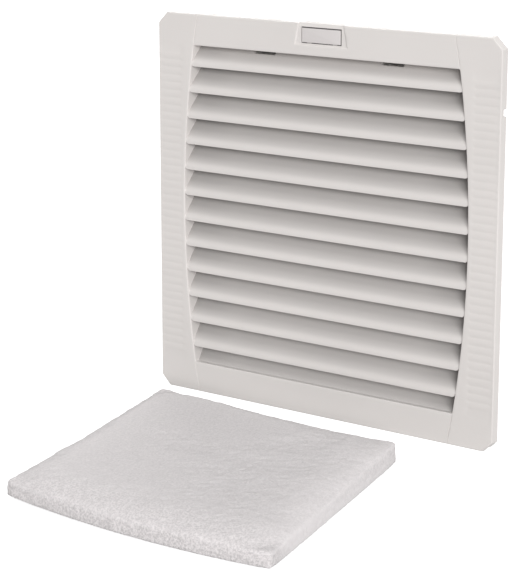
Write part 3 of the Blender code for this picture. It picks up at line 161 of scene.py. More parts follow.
def solid(points, wrap_rows=False):
    """A closed solid from a grid of points (rows, columns, 3) whose rows are closed loops.

    The last row is joined to the first, or else each end row is filled with a flat cap.
    """
    rows, columns = points.shape[:2]
    faces = grid_faces(rows, columns, wrap_rows)
    if not wrap_rows:
        faces.append(list(range(columns))[::-1])
        faces.append(list(range((rows - 1) * columns, rows * columns)))
    return points.reshape(-1, 3), faces


def together(*solids):
    """Several solids as one: their points stacked, and each one's faces numbered on from the last."""
    points, faces, first = [], [], 0
    for places, cells in solids:
        points.append(places)
        faces += [[corner + first for corner in cell] for cell in cells]
        first += len(places)
    return np.concatenate(points), faces


def piece(name, shape, body, slot, replaced, sharp):
    """Puts a solid in millimetres into the scene as a piece that rides on a body and stands for its nodes.

    Its finish is the slot's, and edges that turn by more than sharp degrees stay sharp.
    """
    points, faces = shape
    mesh = bpy.data.meshes.new(name)
    mesh.from_pydata((np.asarray(points) * MM).tolist(), [], faces)
    work = bmesh.new()
    work.from_mesh(mesh)
    bmesh.ops.recalc_face_normals(work, faces=work.faces)
    work.to_mesh(mesh)
    work.free()
    mesh.shade_smooth()
    mesh.set_sharp_from_angle(angle=math.radians(sharp))
    mesh.materials.append(bpy.data.materials[slot + "_dressed"])
    made = bpy.data.objects.new(name, mesh)
    bpy.context.scene.collection.objects.link(made)
    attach(made, body)
    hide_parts(*replaced)
    return made


def mark(mesh, name, values):
    """Stores one value for each point of a mesh, for its finish to read."""
    mesh.attributes.new(name, "FLOAT", "POINT").data.foreach_set("value", values)


def pierced(faces, columns, lines, front, back):
    """Cuts a window through a wall that is a grid of cells, and joins the two cuts with cells of their own.

    The window spans the lines from the first to the last. Front and back are its first and last columns on
    the wall's two sides, and the columns behind run the other way.
    """
    (first, last), (low, high), (under, over) = lines, front, back
    kept = []
    for cell in faces:
        line, column = divmod(cell[0], columns)
        inside = first <= line < last and (low <= column < high or under <= column < over)
        if len(cell) > 4 or not inside:
            kept.append(cell)
    for line in range(first, last):
        a, b = line * columns, (line + 1) * columns
        kept += [[a + ahead, b + ahead, b + behind, a + behind] for ahead, behind in ((low, over), (high, under))]
    for a in (first * columns, last * columns):
        kept += [[a + low + step, a + low + step + 1, a + over - step - 1, a + over - step]
                 for step in range(high - low)]
    return kept


def prism(outline, low, high):
    """An outline in (y, z) carried straight along X from low to high."""
    outline = np.asarray(outline, float)
    rows = [np.column_stack([np.full(len(outline), x), outline]) for x in (low, high)]
    return solid(np.stack(rows))


def arc(centre, radius, start, end, count):
    """Points on a circle: centre plus radius times (cosine, sine) of evenly spaced angles."""
    angles = np.linspace(start, end, count)
    return np.column_stack([centre[0] + radius * np.cos(angles), centre[1] + radius * np.sin(angles)])


def collar(centre, outer, inner, low, high, steps=28):
    """A ring about an axis along X: a rectangle in (x, radius) turned through a full circle."""
    section = np.array([(low, outer), (high, outer), (high, inner), (low, inner)])
    angles = np.linspace(0, 2 * np.pi, steps, endpoint=False)[:, None]
    x = np.broadcast_to(section[:, 0], (steps, 4))
    y = centre[0] + section[:, 1] * np.cos(angles)
    z = centre[1] + section[:, 1] * np.sin(angles)
    return solid(np.stack([x, y, z], axis=-1), wrap_rows=True)


def ramp(value, low, high):
    """0 below low, 1 above high and a straight rise between them."""
    return np.clip((value - low) / (high - low), 0, 1)


# Cover

def opening_side(sizes, z):
    """Half the opening's width at a height: a circle's arc through the bulge and the two corners."""
    chord, bulge = sizes.opening / MM / 2, sizes.bulge / MM
    radius = (chord ** 2 + bulge ** 2) / (2 * bulge)
    return chord - (radius - np.sqrt(radius ** 2 - np.square(z)))


def rib_levels(sizes, reach):
    """Heights of the lines over the ribs: a few on each rib, and a pair at each edge of a notch."""
    pitch = sizes.rib_pitch / MM
    count = int(reach / pitch)
    share = np.array([0, 0.12, 0.3, 0.5, 0.7, 0.88])
    ribs = (np.arange(-count, count)[:, None] + share).ravel() * pitch
    pairs = [edge + step for edge in NOTCH for step in (-0.02, 0.02)]
    return np.sort(np.concatenate([ribs, [count * pitch], pairs]))


FILLET = 1.5  # rounding of the opening's corners
INNER_ROUND = 0.6  # rounding of the opening's edge
NOTCH, NOTCH_REAR = (101.6, 107.0), -3.7  # heights of the pry notches in the skirt's sides, and their floor
RIBS_FROM, RIBS_TO = (137.0, 137.8), (157.9, 158.6)  # where the ribs rise and end across a side band
WINDOW_X = 18.8  # half the width of the button's window
RECESS_FOOT = 0.7  # width of the recess's sloping side
RECESS_HALF, RECESS_LOW = 24.9, 142.9  # half the recess's width at its lower edge, and that edge's height
RECESS_SLOPE = -3.4 / 17.1  # lean of the recess's sides
RECESS_CREST = RECESS_HALF + 8.3 * 3.4 / 17.1  # half its width, carried on to the opening's top
# Heights of the face's points between the opening and the top edge
TOP_LEVELS = np.array([135.2, 136.6, 138.5, 141, 142.2, 142.7, 143.1, 144.0, 147, 152, 156.9, 158.5, 159.2])
BACK_LEVELS = (10, 9, 8, 7, 3, 2)  # which of the face's points have one behind them
WINDOW_LEVELS = (7, 10)  # the face's points below and above the window
BRIM, BRIM_SLOPE = 157.6, 0.36  # where the recess runs out over the top edge, and how steeply
SLEEVE_BACK = 10.0  # the sleeve's rear end
LIP_CORNER, CLIMB = 2.6, 5.0  # radius of the rise at a blade's ends, and the height over which it fades out
POCKET, POCKET_DEPTH = (94.7, 105.3), 1  # where the face is thinner behind, for a knuckle of the frame
HINGE = (-4.1, -156.2)
LATCH = (-3.4, 141.2)
SLOT_LOW, SLOT_HIGH = 17.16, 20.66  # the hook slots along the top blade
SLOT_X = (50.0, 70.0)  # the hook slots across it
BLADE_ENDS = (-1.0, 0.0, 0.12, 0.3, 0.55, 0.85, 1.2, 1.6, 2.1, 2.6, 4.0, 7.0)  # lines by distance from the wall


def corner_path(half, cut, groove):
    """The outer points of a corner's fan, from the side band round the cut corner to the top band."""
    top = groove + np.array([1.2, 0.8, 0.6, 0.45, 0.3, 0.15, 0, -0.15, -0.3, -0.45, -0.6, -0.8, -1.2])
    low = half - cut
    side = [(half, z) for z in (135.5, 139, 144, 148.5, low)]
    chamfer = [(half - (z - low), z) for z in (155.75, -HINGE[1] - 0.02, -HINGE[1] + 0.02)]
    level = [(x, half) for x in (low, 147, 141, 134, 128, 124)] + [(x, half) for x in top]
    points = np.array(side + chamfer + level)
    out = np.array(
        [(1, 0)] * 4 + [(1, 0.414)] + [(0.7071, 0.7071)] * 3 + [(0.414, 1)] + [(0, 1)] * (len(level) - 1))
    return points, out


def cover_lines(sizes):
    """Every line that the cover's section is carried along, anticlockwise from the lower right.

    Each has its end on the opening, its end on the outer edge, the outward directions at both ends, and
    how its section's points are shared out over the face.
    """
    half, top = sizes.side / MM / 2, sizes.opening / MM / 2
    lean = math.asin(top / ((top ** 2 + (sizes.bulge / MM) ** 2) / (2 * sizes.bulge / MM)))
    tangent = FILLET * math.tan((math.pi / 2 - lean) / 2)
    reach = top - tangent
    z = rib_levels(sizes, reach)
    side_in = np.column_stack([opening_side(sizes, z), z])
    side_out = np.column_stack([np.full(len(z), half), z])
    near = side_in[:, 0] + INNER_ROUND
    first = side_in[:, 0] + 2.0
    far = np.array([*RIBS_FROM, 138.8, 142, 147, 152, 156, *RIBS_TO, TOP_LEVELS[-1]])
    levels = np.column_stack([near, first, (first + RIBS_FROM[0]) / 2, np.tile(far, (len(z), 1))])
    side_share = (levels - near[:, None]) / (TOP_LEVELS[-1] - near[:, None])
    top_share = (TOP_LEVELS - TOP_LEVELS[0]) / (TOP_LEVELS[-1] - TOP_LEVELS[0])
    corner_x = float(opening_side(sizes, top))
    groove = float(opening_side(sizes, half))
    path, out = corner_path(half, sizes.corner / MM, groove)
    count = len(path)
    blend = (np.arange(count) + 1) / (count + 1)
    angle = lean + (np.pi / 2 - lean) * blend
    turn = np.column_stack([np.cos(angle), np.sin(angle)])
    wedge_in = np.array([corner_x - tangent, top - FILLET]) + FILLET * turn
    wedge_share = side_share[-1] + (top_share - side_share[-1]) * blend[:, None]
    edge = corner_x - tangent
    marks = [0, 8, WINDOW_X, 20.2, RECESS_CREST - RECESS_FOOT - 0.15, RECESS_CREST - RECESS_FOOT]
    marks += [RECESS_CREST, RECESS_CREST + 0.15, 29, 35, 45, 55, 65, 75, 85]
    marks += [POCKET[0] - 0.02, POCKET[0] + 0.02, POCKET[1] - 0.02, POCKET[1] + 0.02, 112, 117, 120, 122, edge]
    x = np.array(marks)
    shear = np.interp(
        x, [0, 20.2, RECESS_CREST - RECESS_FOOT - 0.15, RECESS_CREST + 0.15, 45, 106, edge],
        [0, 0, RECESS_SLOPE, RECESS_SLOPE, 0, 0, (groove - 1.6 - edge) / (half - top)])
    right_in = np.column_stack([x, np.full(len(x), top)])
    right_out = np.column_stack([x + shear * (half - top), np.full(len(x), half)])
    side_n = np.tile([1.0, 0.0], (len(z), 1))
    top_n = np.tile([0.0, 1.0], (len(x), 1))
    side = [side_in, side_out, side_n, side_n, side_share]
    wedge = [wedge_in, path, turn, out, wedge_share]
    run = [right_in[::-1], right_out[::-1], top_n, top_n, np.tile(top_share, (len(x), 1))]
    parts = []
    for sx, sz in ((1, 1), (-1, 1), (-1, -1), (1, -1)):
        # A side band is whole in its upper quarter. Every second quarter runs backwards, and leaves out the
        # line at x = 0, which the quarter before it has.
        stretches = [side, wedge, run] if sz > 0 else [wedge, run]
        if sx * sz < 0:
            stretches = [[rows[::-1] for rows in stretch] for stretch in reversed(stretches)]
            stretches[0] = [rows[1:] for rows in stretches[0]]
        parts += [[*(rows * (sx, sz) for rows in stretch[:4]), stretch[4]] for stretch in stretches]
    return [np.concatenate([part[i] for part in parts]) for i in range(5)]


def face_depth(sizes, x, z):
    """How far the face lies behind its plane: rib valleys, the two grooves and the button's recess.

    A rib is a parabola over its pitch. A groove is a triangle across the opening's arc, carried on past
    the opening. The recess is a trapezoid whose depth ramps up along its sides and its lower edge.
    """
    share = np.mod(z / (sizes.rib_pitch / MM), 1)
    across = np.minimum(ramp(np.abs(x), *RIBS_FROM), 1 - ramp(np.abs(x), *RIBS_TO))
    rib_count = int((sizes.opening / MM / 2 - 1.3) / (sizes.rib_pitch / MM))
    inside = np.abs(z) <= rib_count * sizes.rib_pitch / MM
    depth = sizes.rib_rise / MM * (2 * share - 1) ** 2 * across * inside
    off = np.abs(np.abs(x) - opening_side(sizes, z))
    groove = 0.5 * (1 - ramp(off, 0.05, 0.3)) * (np.abs(z) > sizes.opening / MM / 2 + 0.4)
    crest = RECESS_HALF + RECESS_SLOPE * (z - RECESS_LOW)
    inward = ramp(crest - np.abs(x), 0, RECESS_FOOT)
    recess = sizes.recess / MM * np.minimum(inward, ramp(z, 142.7, 143.1)) * (z > 140)
    return depth + groove + recess


def louvre_bezel(sizes):
    """The bezel and its sleeve: one closed section carried round the opening.

    A section runs forward up the sleeve's inner wall, over a small round, across the face, over the outer
    round, back down the skirt, and returns inside the skirt, behind the face and behind the sleeve.
    """
    inner, outer, turn, out, share = cover_lines(sizes)
    face, wall, edge = sizes.face / MM, sizes.wall / MM, sizes.edge / MM
    skin = face + wall
    rear = np.full(len(inner), face + sizes.depth / MM)
    on_side = np.abs(outer[:, 0]) > sizes.side / MM / 2 - 0.1
    rear[on_side & (outer[:, 1] > NOTCH[0]) & (outer[:, 1] < NOTCH[1])] = NOTCH_REAR
    rear[outer[:, 1] < HINGE[1]] = HINGE[0]
    rows = []

    def add(xz, y):
        """Adds one point to every line's section."""
        y = np.broadcast_to(np.asarray(y, float), (len(inner),))
        rows.append(np.column_stack([xz[:, 0], y, np.maximum(xz[:, 1], COVER_LOW.z / MM)]))

    def scooped(y, z, lines):
        """The slope by which the recess runs out over the top edge, on its own lines and where it is deeper."""
        slope = face + sizes.recess / MM + (z - BRIM) * BRIM_SLOPE
        return np.where(lines & (z >= BRIM), np.maximum(y, slope), y)

    # Forward up the sleeve and over the opening's edge
    for y in (SLEEVE_BACK, 4.0, -1.0, -5.0):
        add(inner, y)
    for angle in (0.0, 30.0, 60.0):
        a = math.radians(angle)
        add(inner + turn * INNER_ROUND * (1 - math.cos(a)), face + INNER_ROUND * (1 - math.sin(a)))
    # Across the face
    start, end = inner + turn * INNER_ROUND, outer - out * edge
    places = start[:, None, :] + (end - start)[:, None, :] * share[:, :, None]
    depth = face_depth(sizes, places[..., 0], places[..., 1])
    scoop = (np.abs(inner[:, 0]) < RECESS_CREST - RECESS_FOOT - 0.1) & (inner[:, 1] > 0)
    level = scooped(face + depth, places[..., 1], scoop[:, None])
    first_face = len(rows)
    for j in range(share.shape[1]):
        add(places[:, j], level[:, j])
    # Over the outer edge and back down the skirt
    for angle in (30.0, 60.0, 90.0):
        a = math.radians(angle)
        at = outer - out * edge * (1 - math.sin(a))
        y = face + edge * (1 - math.cos(a)) + depth[:, -1] * (1 - math.sin(a))
        add(at, scooped(y, at[:, 1], scoop))
    begin = rows[-1][:, 1]
    lean = sizes.draft / sizes.depth
    for part in (0.4, 1.0):
        y = begin + (rear - begin) * part
        add(outer + out * (lean * (y - face))[:, None], y)
    # Forward inside the skirt, then behind the face and behind the sleeve
    inside = outer - out * wall
    add(inside + out * (lean * (rear - face))[:, None], rear)
    pocket = (np.abs(inner[:, 0]) > POCKET[0]) & (np.abs(inner[:, 0]) < POCKET[1]) & (inner[:, 1] < 0)
    thin = np.where(pocket, skin - POCKET_DEPTH, skin)
    add(inside, thin)
    first_back = len(rows)
    for j in BACK_LEVELS:
        add(places[:, j], np.where(j >= 9, thin, skin))
    for y in (skin, 0.0, SLEEVE_BACK):
        add(inner + turn * wall, y)
    # The button's window
    points = np.stack(rows, axis=1)
    lines, columns = points.shape[:2]
    run = np.flatnonzero((np.abs(inner[:, 0]) < WINDOW_X + 0.01) & (inner[:, 1] > 0))
    front = [first_face + number for number in WINDOW_LEVELS]
    back = (first_back, first_back + front[1] - front[0])
    faces = pierced(grid_faces(lines, columns, True), columns, (run[0], run[-1]), front, back)
    return points.reshape(-1, 3), faces


def blade_curve(sizes, length):
    """A blade's front line in (y, z) from its tip, and its slope, at distances along it.

    It is straight at the lip's angle, then a circle's arc, then straight at the blade's slope.
    """
    lip, radius = sizes.lip / MM, sizes.bend / MM
    steep, slope = sizes.lip_angle, sizes.slope
    bent = radius * (steep - slope)
    on_lip = np.minimum(length, lip)
    on_bend = np.clip(length - lip, 0, bent)
    on_slope = np.maximum(length - lip - bent, 0)
    angle = steep - on_bend / radius
    y = on_lip * math.cos(steep) + radius * (math.sin(steep) - np.sin(angle)) + on_slope * math.cos(slope)
    z = on_lip * math.sin(steep) + radius * (np.cos(angle) - math.cos(steep)) + on_slope * math.sin(slope)
    return y, z, angle


def louvre_blade(cover, sizes, number):
    """One blade: its front line, thickened backwards, carried across between the side walls.

    Near each wall the tip rises on a quarter circle. The top blade runs up into the opening's upper wall,
    and the lowest begins at its lower wall.
    """
    tip = (sizes.top_tip - number * sizes.pitch) / MM
    face = cover.face / MM + sizes.set_back / MM
    top = cover.opening / MM / 2
    sample = np.linspace(0, 60, 6001)
    y, z, _ = blade_curve(sizes, sample)
    begin = sample[np.argmax(tip + z >= -top - 1.0)]
    finish = sample[np.argmax((face + y >= SLEEVE_BACK) | (tip + z >= top + 1.0))]
    steps = np.array([0, 0.5, 1.0, 1.5, 2.1, 2.7, 3.4, 4.1, 4.8, 5.5, 6.25, 8, 10, 12, 15, 18.5, 22, 25])
    marks = np.concatenate([steps[(steps > begin) & (steps < finish - 0.5)], [begin, finish]])
    if number == 0:
        marks = np.concatenate([marks, [SLOT_LOW, SLOT_HIGH]])
    length = np.sort(marks)
    y, z, angle = blade_curve(sizes, length)
    normal = np.column_stack([-np.sin(angle), np.cos(angle)])
    front = np.column_stack([face + y, tip + z])
    thick = sizes.thickness / MM
    behind = front - normal * thick
    if number < sizes.count - 1:
        nose, heel = 0.55, 0.3
        level = front[0, 1]
        down = np.array([
            (front[0, 0] + 0.02, level + 0.25), (front[0, 0] + 0.12, level + 0.08), (front[0, 0] + nose, level),
            (front[0, 0] + thick - heel, level), (front[0, 0] + thick, level + heel)])
        front = front[1:]
        behind = behind[1:]
        length = length[1:]
    else:
        down = np.empty((0, 2))
    if front[-1, 0] > SLEEVE_BACK - 0.5:
        behind[-1] = (SLEEVE_BACK, front[-1, 1] - thick / math.cos(sizes.slope))
    outline = np.concatenate([behind[::-1], down[::-1], front])
    count, extra = len(front), len(down)
    middle = [0, 25, 50, 70, 90] if number else [0, 25, *SLOT_X, 90]
    zs = outline[:, 1]
    wall = opening_side(cover, np.clip(zs, -top, top))
    lines = [wall - distance for distance in BLADE_ENDS]
    lines += [np.full(len(outline), float(x)) for x in middle[:0:-1]]
    right = np.array(lines)
    x = np.concatenate([right, np.zeros((1, len(outline))), -right[::-1]])
    gap = np.clip(wall - np.abs(x), 0, LIP_CORNER)
    rise = LIP_CORNER - np.sqrt(LIP_CORNER ** 2 - (LIP_CORNER - gap) ** 2)
    climb = (1 - ramp(zs - zs.min(), 0.0, CLIMB)) * (number < sizes.count - 1)
    points = np.stack([x, np.broadcast_to(outline[:, 0], x.shape), zs + rise * climb], axis=-1)
    shape = solid(points)
    if number:
        return shape
    return slotted(shape, x, count, extra, length)


def blade_painted_shade(cover, places):
    """How much painted shade darkens the blades below the face's colour, for places in millimetres.

    A little everywhere, more behind the bend, and most in the corners at both ends, where shade falls in the louvre.
    """
    x, y, z = places.T
    top = cover.opening / MM / 2
    gap = opening_side(cover, np.clip(z, -top, top)) - np.abs(x)
    corner = (1 - ramp(gap, 0, 16)) * ramp(y, -4.5, 1.0)
    # Painted shade standing in for the shade in the louvre's depths and corners
    return 0.05 + 0.14 * ramp(y, -5.8, -3.0) + 0.22 * corner


def slotted(shape, x, count, extra, length):
    """Cuts the two hook slots through the top blade.

    The blade's section has count points behind, then extra points under the tip, then its front's points.
    """
    points, faces = shape
    lines, columns = x.shape
    low, high = (int(np.argmin(np.abs(length - place))) for place in (SLOT_LOW, SLOT_HIGH))
    front, back = (count + extra + low, count + extra + high), (count - 1 - high, count - 1 - low)
    for side in (-1, 1):
        a, b = sorted(side * s for s in SLOT_X)
        spots = [i for i in range(lines) if a - 0.01 <= x[i, columns // 2] <= b + 0.01]
        faces = pierced(faces, columns, (min(spots), max(spots)), front, back)
    return points, faces


def slot_tabs(cover, sizes):
    """The two tabs that hang in the hook slots: flat plates that follow the top blade's slope."""
    face = (cover.face + sizes.set_back) / MM
    tip = sizes.top_tip / MM
    length = np.array([SLOT_LOW + 2.2, SLOT_HIGH + 0.6])
    y, z, angle = blade_curve(sizes, length)
    front = np.column_stack([face + y, tip + z])
    behind = front - np.column_stack([-np.sin(angle), np.cos(angle)]) * sizes.thickness / MM / 2
    outline = np.concatenate([front, behind[::-1]])
    tabs = []
    for side in (-1, 1):
        low, high = sorted(side * s for s in SLOT_X)
        tabs.append(prism(outline, low + 0.8, high - 0.8))
    return tabs


def cover_fittings():
    """The hinge ears and the latch lugs behind the face, each a ring or a prism along X."""
    fittings = []
    for side in (-1, 1):
        for low, high in ((89.7, 94.7), (105.3, 110.3)):
            ends = sorted((side * low, side * high))
            fittings.append(collar(HINGE, 2.3, 0.9, *ends))
        ends = sorted((side * 16.5, side * 19.5))
        fittings.append(collar(LATCH, 1.5, 0.85, *ends))
        root = [(-5.3, 139.9), (-5.3, 142.5), (LATCH[0] - 1.1, 142.2), (LATCH[0] - 1.1, 140.2)]
        fittings.append(prism(root, *ends))
    return fittings


# Button

def cushion_plate(low, high, rounding, undercut, steps=4):
    """A plate with rounded edges, as a stack of rounded rectangles from its back to its front.

    Each rectangle's corners are quarter circles. Towards the front it shrinks along a quarter circle, and
    its back is smaller all round by the undercut.
    """
    (x0, y0, z0), (x1, y1, z1) = low, high
    rings = []
    for k in range(steps + 2):
        if k == 0:
            inset, y = undercut, y1
        else:
            a = (k - 1) / steps * math.pi / 2
            inset, y = rounding * (1 - math.cos(a)), y0 + rounding * (1 - math.sin(a))
        r = max(rounding - inset, 0.12)
        ring = []
        for cx, cz, start in (
                (x1 - inset - r, z1 - inset - r, 0), (x0 + inset + r, z1 - inset - r, 90),
                (x0 + inset + r, z0 + inset + r, 180), (x1 - inset - r, z0 + inset + r, 270)):
            ring.append(arc((cx, cz), r, math.radians(start), math.radians(start + 90), 5))
        ring = np.concatenate(ring)
        rings.append(np.column_stack([ring[:, 0], np.full(len(ring), y), ring[:, 1]]))
    return solid(np.stack(rings))


def button_shape():
    """The push button: a rounded cap, a thin flange that closes the gap round it, two arms, eyes and hooks."""
    parts = [cushion_plate((-18.0, -6.3, 144.8), (18.0, -4.6, 156.1), 0.14, 0.5)]
    parts.append(prism([(-4.62, 143.9), (-4.2, 143.9), (-4.2, 158.2), (-4.62, 158.2)], -19.9, 19.9))
    upright = [
        (-4.7, 141.2), (-3.3, 141.2), (-3.3, 149.4), (-5.3, 151.4), (-5.3, 144.6), (-4.7, 144.6)]
    hook = [
        (-3.4, 139.8), (4.9, 138.6), (4.9, 139.9), (3.9, 140.4), (3.5, 140.4), (3.5, 139.6), (-3.4, 141.2)]
    for side in (-1, 1):
        low, high = side * 12 - 2, side * 12 + 2
        parts += [prism(upright, low, high), prism(hook, low + 0.01, high - 0.01)]
        parts.append(collar(LATCH, 1.5, 0.85, low - 0.02, high + 0.02))
    return together(*parts)


# Fan

THROAT, BORE, RING = 82.0, 81.0, 86.0  # radii of the nozzle's throat, the fan's bore and its ring
FAN_FRONT, FAN_BACK = 52.6, 104.6
VANES, TIP_GAP, ROOT = 7, 2, 35.4  # number of vanes, their gap to the bore, and the radius where they begin
LUG = 90.5 / math.sqrt(2)
LUGS = np.array([(-LUG, -LUG), (LUG, -LUG), (LUG, LUG), (-LUG, LUG)])


def lathe(profile, angles=96, centre=(0.0, 0.0), closed=True):
    """A section in (radius, y) turned about an axis along Y, closed in itself or capped at both ends."""
    section = np.asarray(profile, float)
    if isinstance(angles, int):
        angles = np.linspace(0, 2 * np.pi, angles, endpoint=False)
    x = centre[0] + section[:, :1] * np.cos(angles)
    z = centre[1] + section[:, :1] * np.sin(angles)
    y = np.broadcast_to(section[:, 1:], x.shape)
    return solid(np.stack([x, y, z], axis=-1), wrap_rows=closed)


def slab(outline, low, high):
    """An outline in (x, z) carried straight along Y from low to high."""
    outline = np.asarray(outline, float)
    rows = [np.column_stack([outline[:, 0], np.full(len(outline), y), outline[:, 1]]) for y in (low, high)]
    return solid(np.stack(rows))


def eased(low, high, bevel):
    """The outline of a rectangle whose four corners are cut off by the bevel."""
    (x0, y0), (x1, y1) = low, high
    return [(x0 + bevel, y0), (x1 - bevel, y0), (x1, y0 + bevel), (x1, y1 - bevel),
            (x1 - bevel, y1), (x0 + bevel, y1), (x0, y1 - bevel), (x0, y0 + bevel)]


def wire_ring(radius, y, thickness, centre=(0.0, 0.0), steps=72, sides=8):
    """A round wire bent to a circle about an axis along Y."""
    return lathe(arc((radius, y), thickness, 0, 2 * np.pi * (1 - 1 / sides), sides), steps, centre)


def spoke(outward, near, far, y, thickness):
    """A round wire along a direction in (x, z), with its two ends rounded off."""
    turn = np.linspace(0, 2 * np.pi, 10, endpoint=False)
    side = np.array([-outward[1], outward[0]])
    rows = []
    for place, size in ((near - 0.7, 0.4), (near - 0.3, 0.85), (near, 1.0), (far, 1.0), (far + 0.3, 0.85)):
        flat = outward * place + side * (thickness * size * np.cos(turn))[:, None]
        rows.append(np.column_stack([flat[:, 0], y + thickness * size * np.sin(turn), flat[:, 1]]))
    return solid(np.stack(rows))


def guard_shape():
    """The finger guard: five wire rings welded on four spokes that end in eyelets."""
    parts = [wire_ring(28.0 + 12.0 * number, FAN_BACK + 3.0, 0.9) for number in range(5)]
    for place in LUGS:
        outward = place / np.linalg.norm(place)
        parts.append(spoke(outward, 26.0, 87.2, FAN_BACK + 1.4, 1.1))
        parts.append(wire_ring(3.3, FAN_BACK + 1.4, 0.85, tuple(place), 24))
    return together(*parts)


def housing_shape():
    """The fan's ring with its waist and rounded lips, its lugs, and the four arms with the hub and the tube.

    Where the lead passes, the ring's rear lip is pressed forward to an eighth of its depth.
    """
    notch = [-math.atan2(83.5, x) for x in (2.65, 2.75, 7.25, 7.35)]
    angles = np.sort(np.concatenate([np.linspace(-np.pi, np.pi, 96, endpoint=False) + 0.01, notch]))
    profile = [
        (BORE + 1.2, FAN_FRONT), (BORE + 0.35, FAN_FRONT + 0.35), (BORE, FAN_FRONT + 1.2), (BORE, FAN_BACK - 1.2),
        (BORE + 0.35, FAN_BACK - 0.35), (BORE + 1.2, FAN_BACK), (RING - 0.5, FAN_BACK), (RING, FAN_BACK - 0.5),
        (RING, FAN_BACK - 3.5), (RING - 0.5, FAN_BACK - 4.2), (84.3, FAN_BACK - 6.6), (84.0, FAN_BACK - 8.2),
        (84.0, FAN_FRONT + 8.2), (84.3, FAN_FRONT + 6.6), (RING - 0.5, FAN_FRONT + 4.2), (RING, FAN_FRONT + 3.5),
        (RING, FAN_FRONT + 0.5), (RING - 0.5, FAN_FRONT)]
    points, faces = lathe(profile, angles)
    low = (points[:, 0] > 2.68) & (points[:, 0] < 7.32) & (points[:, 2] < 0) & (points[:, 1] > 100)
    points[:, 1] = np.where(low, 100 + (points[:, 1] - 100) * 0.13, points[:, 1])
    parts = [(points, faces)]
    hub = [
        (0.05, 101.6), (5.7, 101.6), (5.7, 66.6), (7.5, 66.6), (7.5, 99.2), (8.3, 100.0), (25.4, 100.0),
        (26.0, 100.6), (26.0, 103.9), (25.3, 104.6), (23.4, 104.6), (22.8, 104.1), (9.0, 104.1), (8.4, 104.5),
        (0.05, 104.5)]
    parts.append(lathe(hub, 64, closed=False))
    arm = eased((100.6, -2.5), (104.2, 2.5), 0.8)
    parts.append(prism(arm, -82.0, 82.0))
    across = prism(arm, -82.02, 82.02)
    parts.append((across[0][:, [2, 1, 0]], across[1]))
    for place in LUGS:
        outward = place / np.linalg.norm(place)
        side = np.array([-outward[1], outward[0]])
        web = [outward * r + side * s for r, s in ((84.6, -8.5), (84.6, 8.5), (88.2, 5.6), (88.2, -5.6))]
        for front in (FAN_FRONT, FAN_BACK - 4.0):
            section = eased((2.0, front), (6.0, front + 4.0), 0.4)
            parts += [lathe(section, 28, tuple(place)), slab(web, front + 0.02, front + 3.98)]
    return together(*parts)


def shroud_shape():
    """The plate behind the bay, the inlet nozzle as a quarter ellipse in section, and the fan's posts."""
    half, cut, front, back = 115.0, 6.0, 36.3, 38.8
    spread = math.atan2(half - cut, half)
    corners = np.array([quarter * np.pi / 2 + turn for quarter in range(4) for turn in (spread, np.pi / 2 - spread)])
    angles = np.sort(np.concatenate([np.linspace(0, 2 * np.pi, 120, endpoint=False) + 0.003, corners]))
    direction = np.column_stack([np.cos(angles), np.sin(angles)])
    edge = np.minimum(half / np.abs(direction).max(axis=1), (2 * half - cut) / np.abs(direction).sum(axis=1))
    rows = []
    for level, share, inset in (
            (front, 0, 0), (front, 1, 0), (back - 0.5, 1, 0), (back, 1, 0.4), (back, 0.03, 0), (back, 0, 0)):
        reach = 96.8 + (edge - 96.8) * share - inset
        rows.append(np.column_stack([direction[:, 0] * reach, np.full(len(angles), level), direction[:, 1] * reach]))
    parts = [solid(np.stack(rows), wrap_rows=True)]
    angle = np.linspace(0, np.pi / 2, 10)
    radius = THROAT + 15.0 * (1 - np.sin(angle))
    y = 52.3 - 15.5 * np.cos(angle)
    inner = np.column_stack([radius, y])
    outer = inner + 2.2 * np.column_stack([np.sin(angle), np.cos(angle)])
    outer[:, 1] = np.minimum(outer[:, 1], 52.3)
    parts.append(lathe(np.concatenate([inner, outer[::-1]])))
    for place in LUGS:
        post = [(2.0, 38.7), (6.0, 38.7), (5.4, 39.2), (5.0, 40.2), (5.0, 51.8), (4.5, 52.3), (2.0, 52.3)]
        parts.append(lathe(post, 24, tuple(place)))
    return together(*parts)


def vane(turned):
    """One vane turned by an angle: a swept, twisted and cambered middle surface, thickened both ways.

    Along the chord the thickness is a rounded nose, a steady body and a thin tail. The rows run from the hub
    to the tip, and chord and pitch change evenly along them.
    """
    u, s = np.meshgrid(np.linspace(0, 1, 12), np.linspace(-0.5, 0.5, 15), indexing="ij")
    radius, chord = ROOT + (BORE - TIP_GAP - ROOT) * u, 34 + 12 * u
    pitch = np.radians(48 - 22 * u)
    camber = 0.07 * chord * (1 - 4 * s ** 2)
    y = 77.1 + chord * s * np.sin(pitch) - camber * np.cos(pitch)
    along = chord * s * np.cos(pitch) + camber * np.sin(pitch)
    angle = turned + math.radians(14) * u ** 2 + along / radius
    middle = np.stack([radius * np.cos(angle), y, radius * np.sin(angle)], axis=-1)
    normal = np.cross(np.gradient(middle, axis=0), np.gradient(middle, axis=1))
    normal /= np.linalg.norm(normal, axis=-1, keepdims=True)
    thick = 0.9 * np.minimum(np.sqrt(ramp(s, -0.56, -0.4)), 1 - 0.55 * ramp(s, 0.0, 0.5))[..., None]
    return solid(np.concatenate([middle + normal * thick, (middle - normal * thick)[:, ::-1]], axis=1))


def wheel_shape():
    """The fan wheel: the ring round the rotor cup with seven vanes."""
    ring = [(34.3, 57.6), (35.7, 57.6), (36.2, 58.1), (36.5, 59.1), (36.5, 96.1), (36.0, 96.6), (34.3, 96.6)]
    return together(lathe(ring, 84), *(vane(2 * np.pi * number / VANES) for number in range(VANES)))


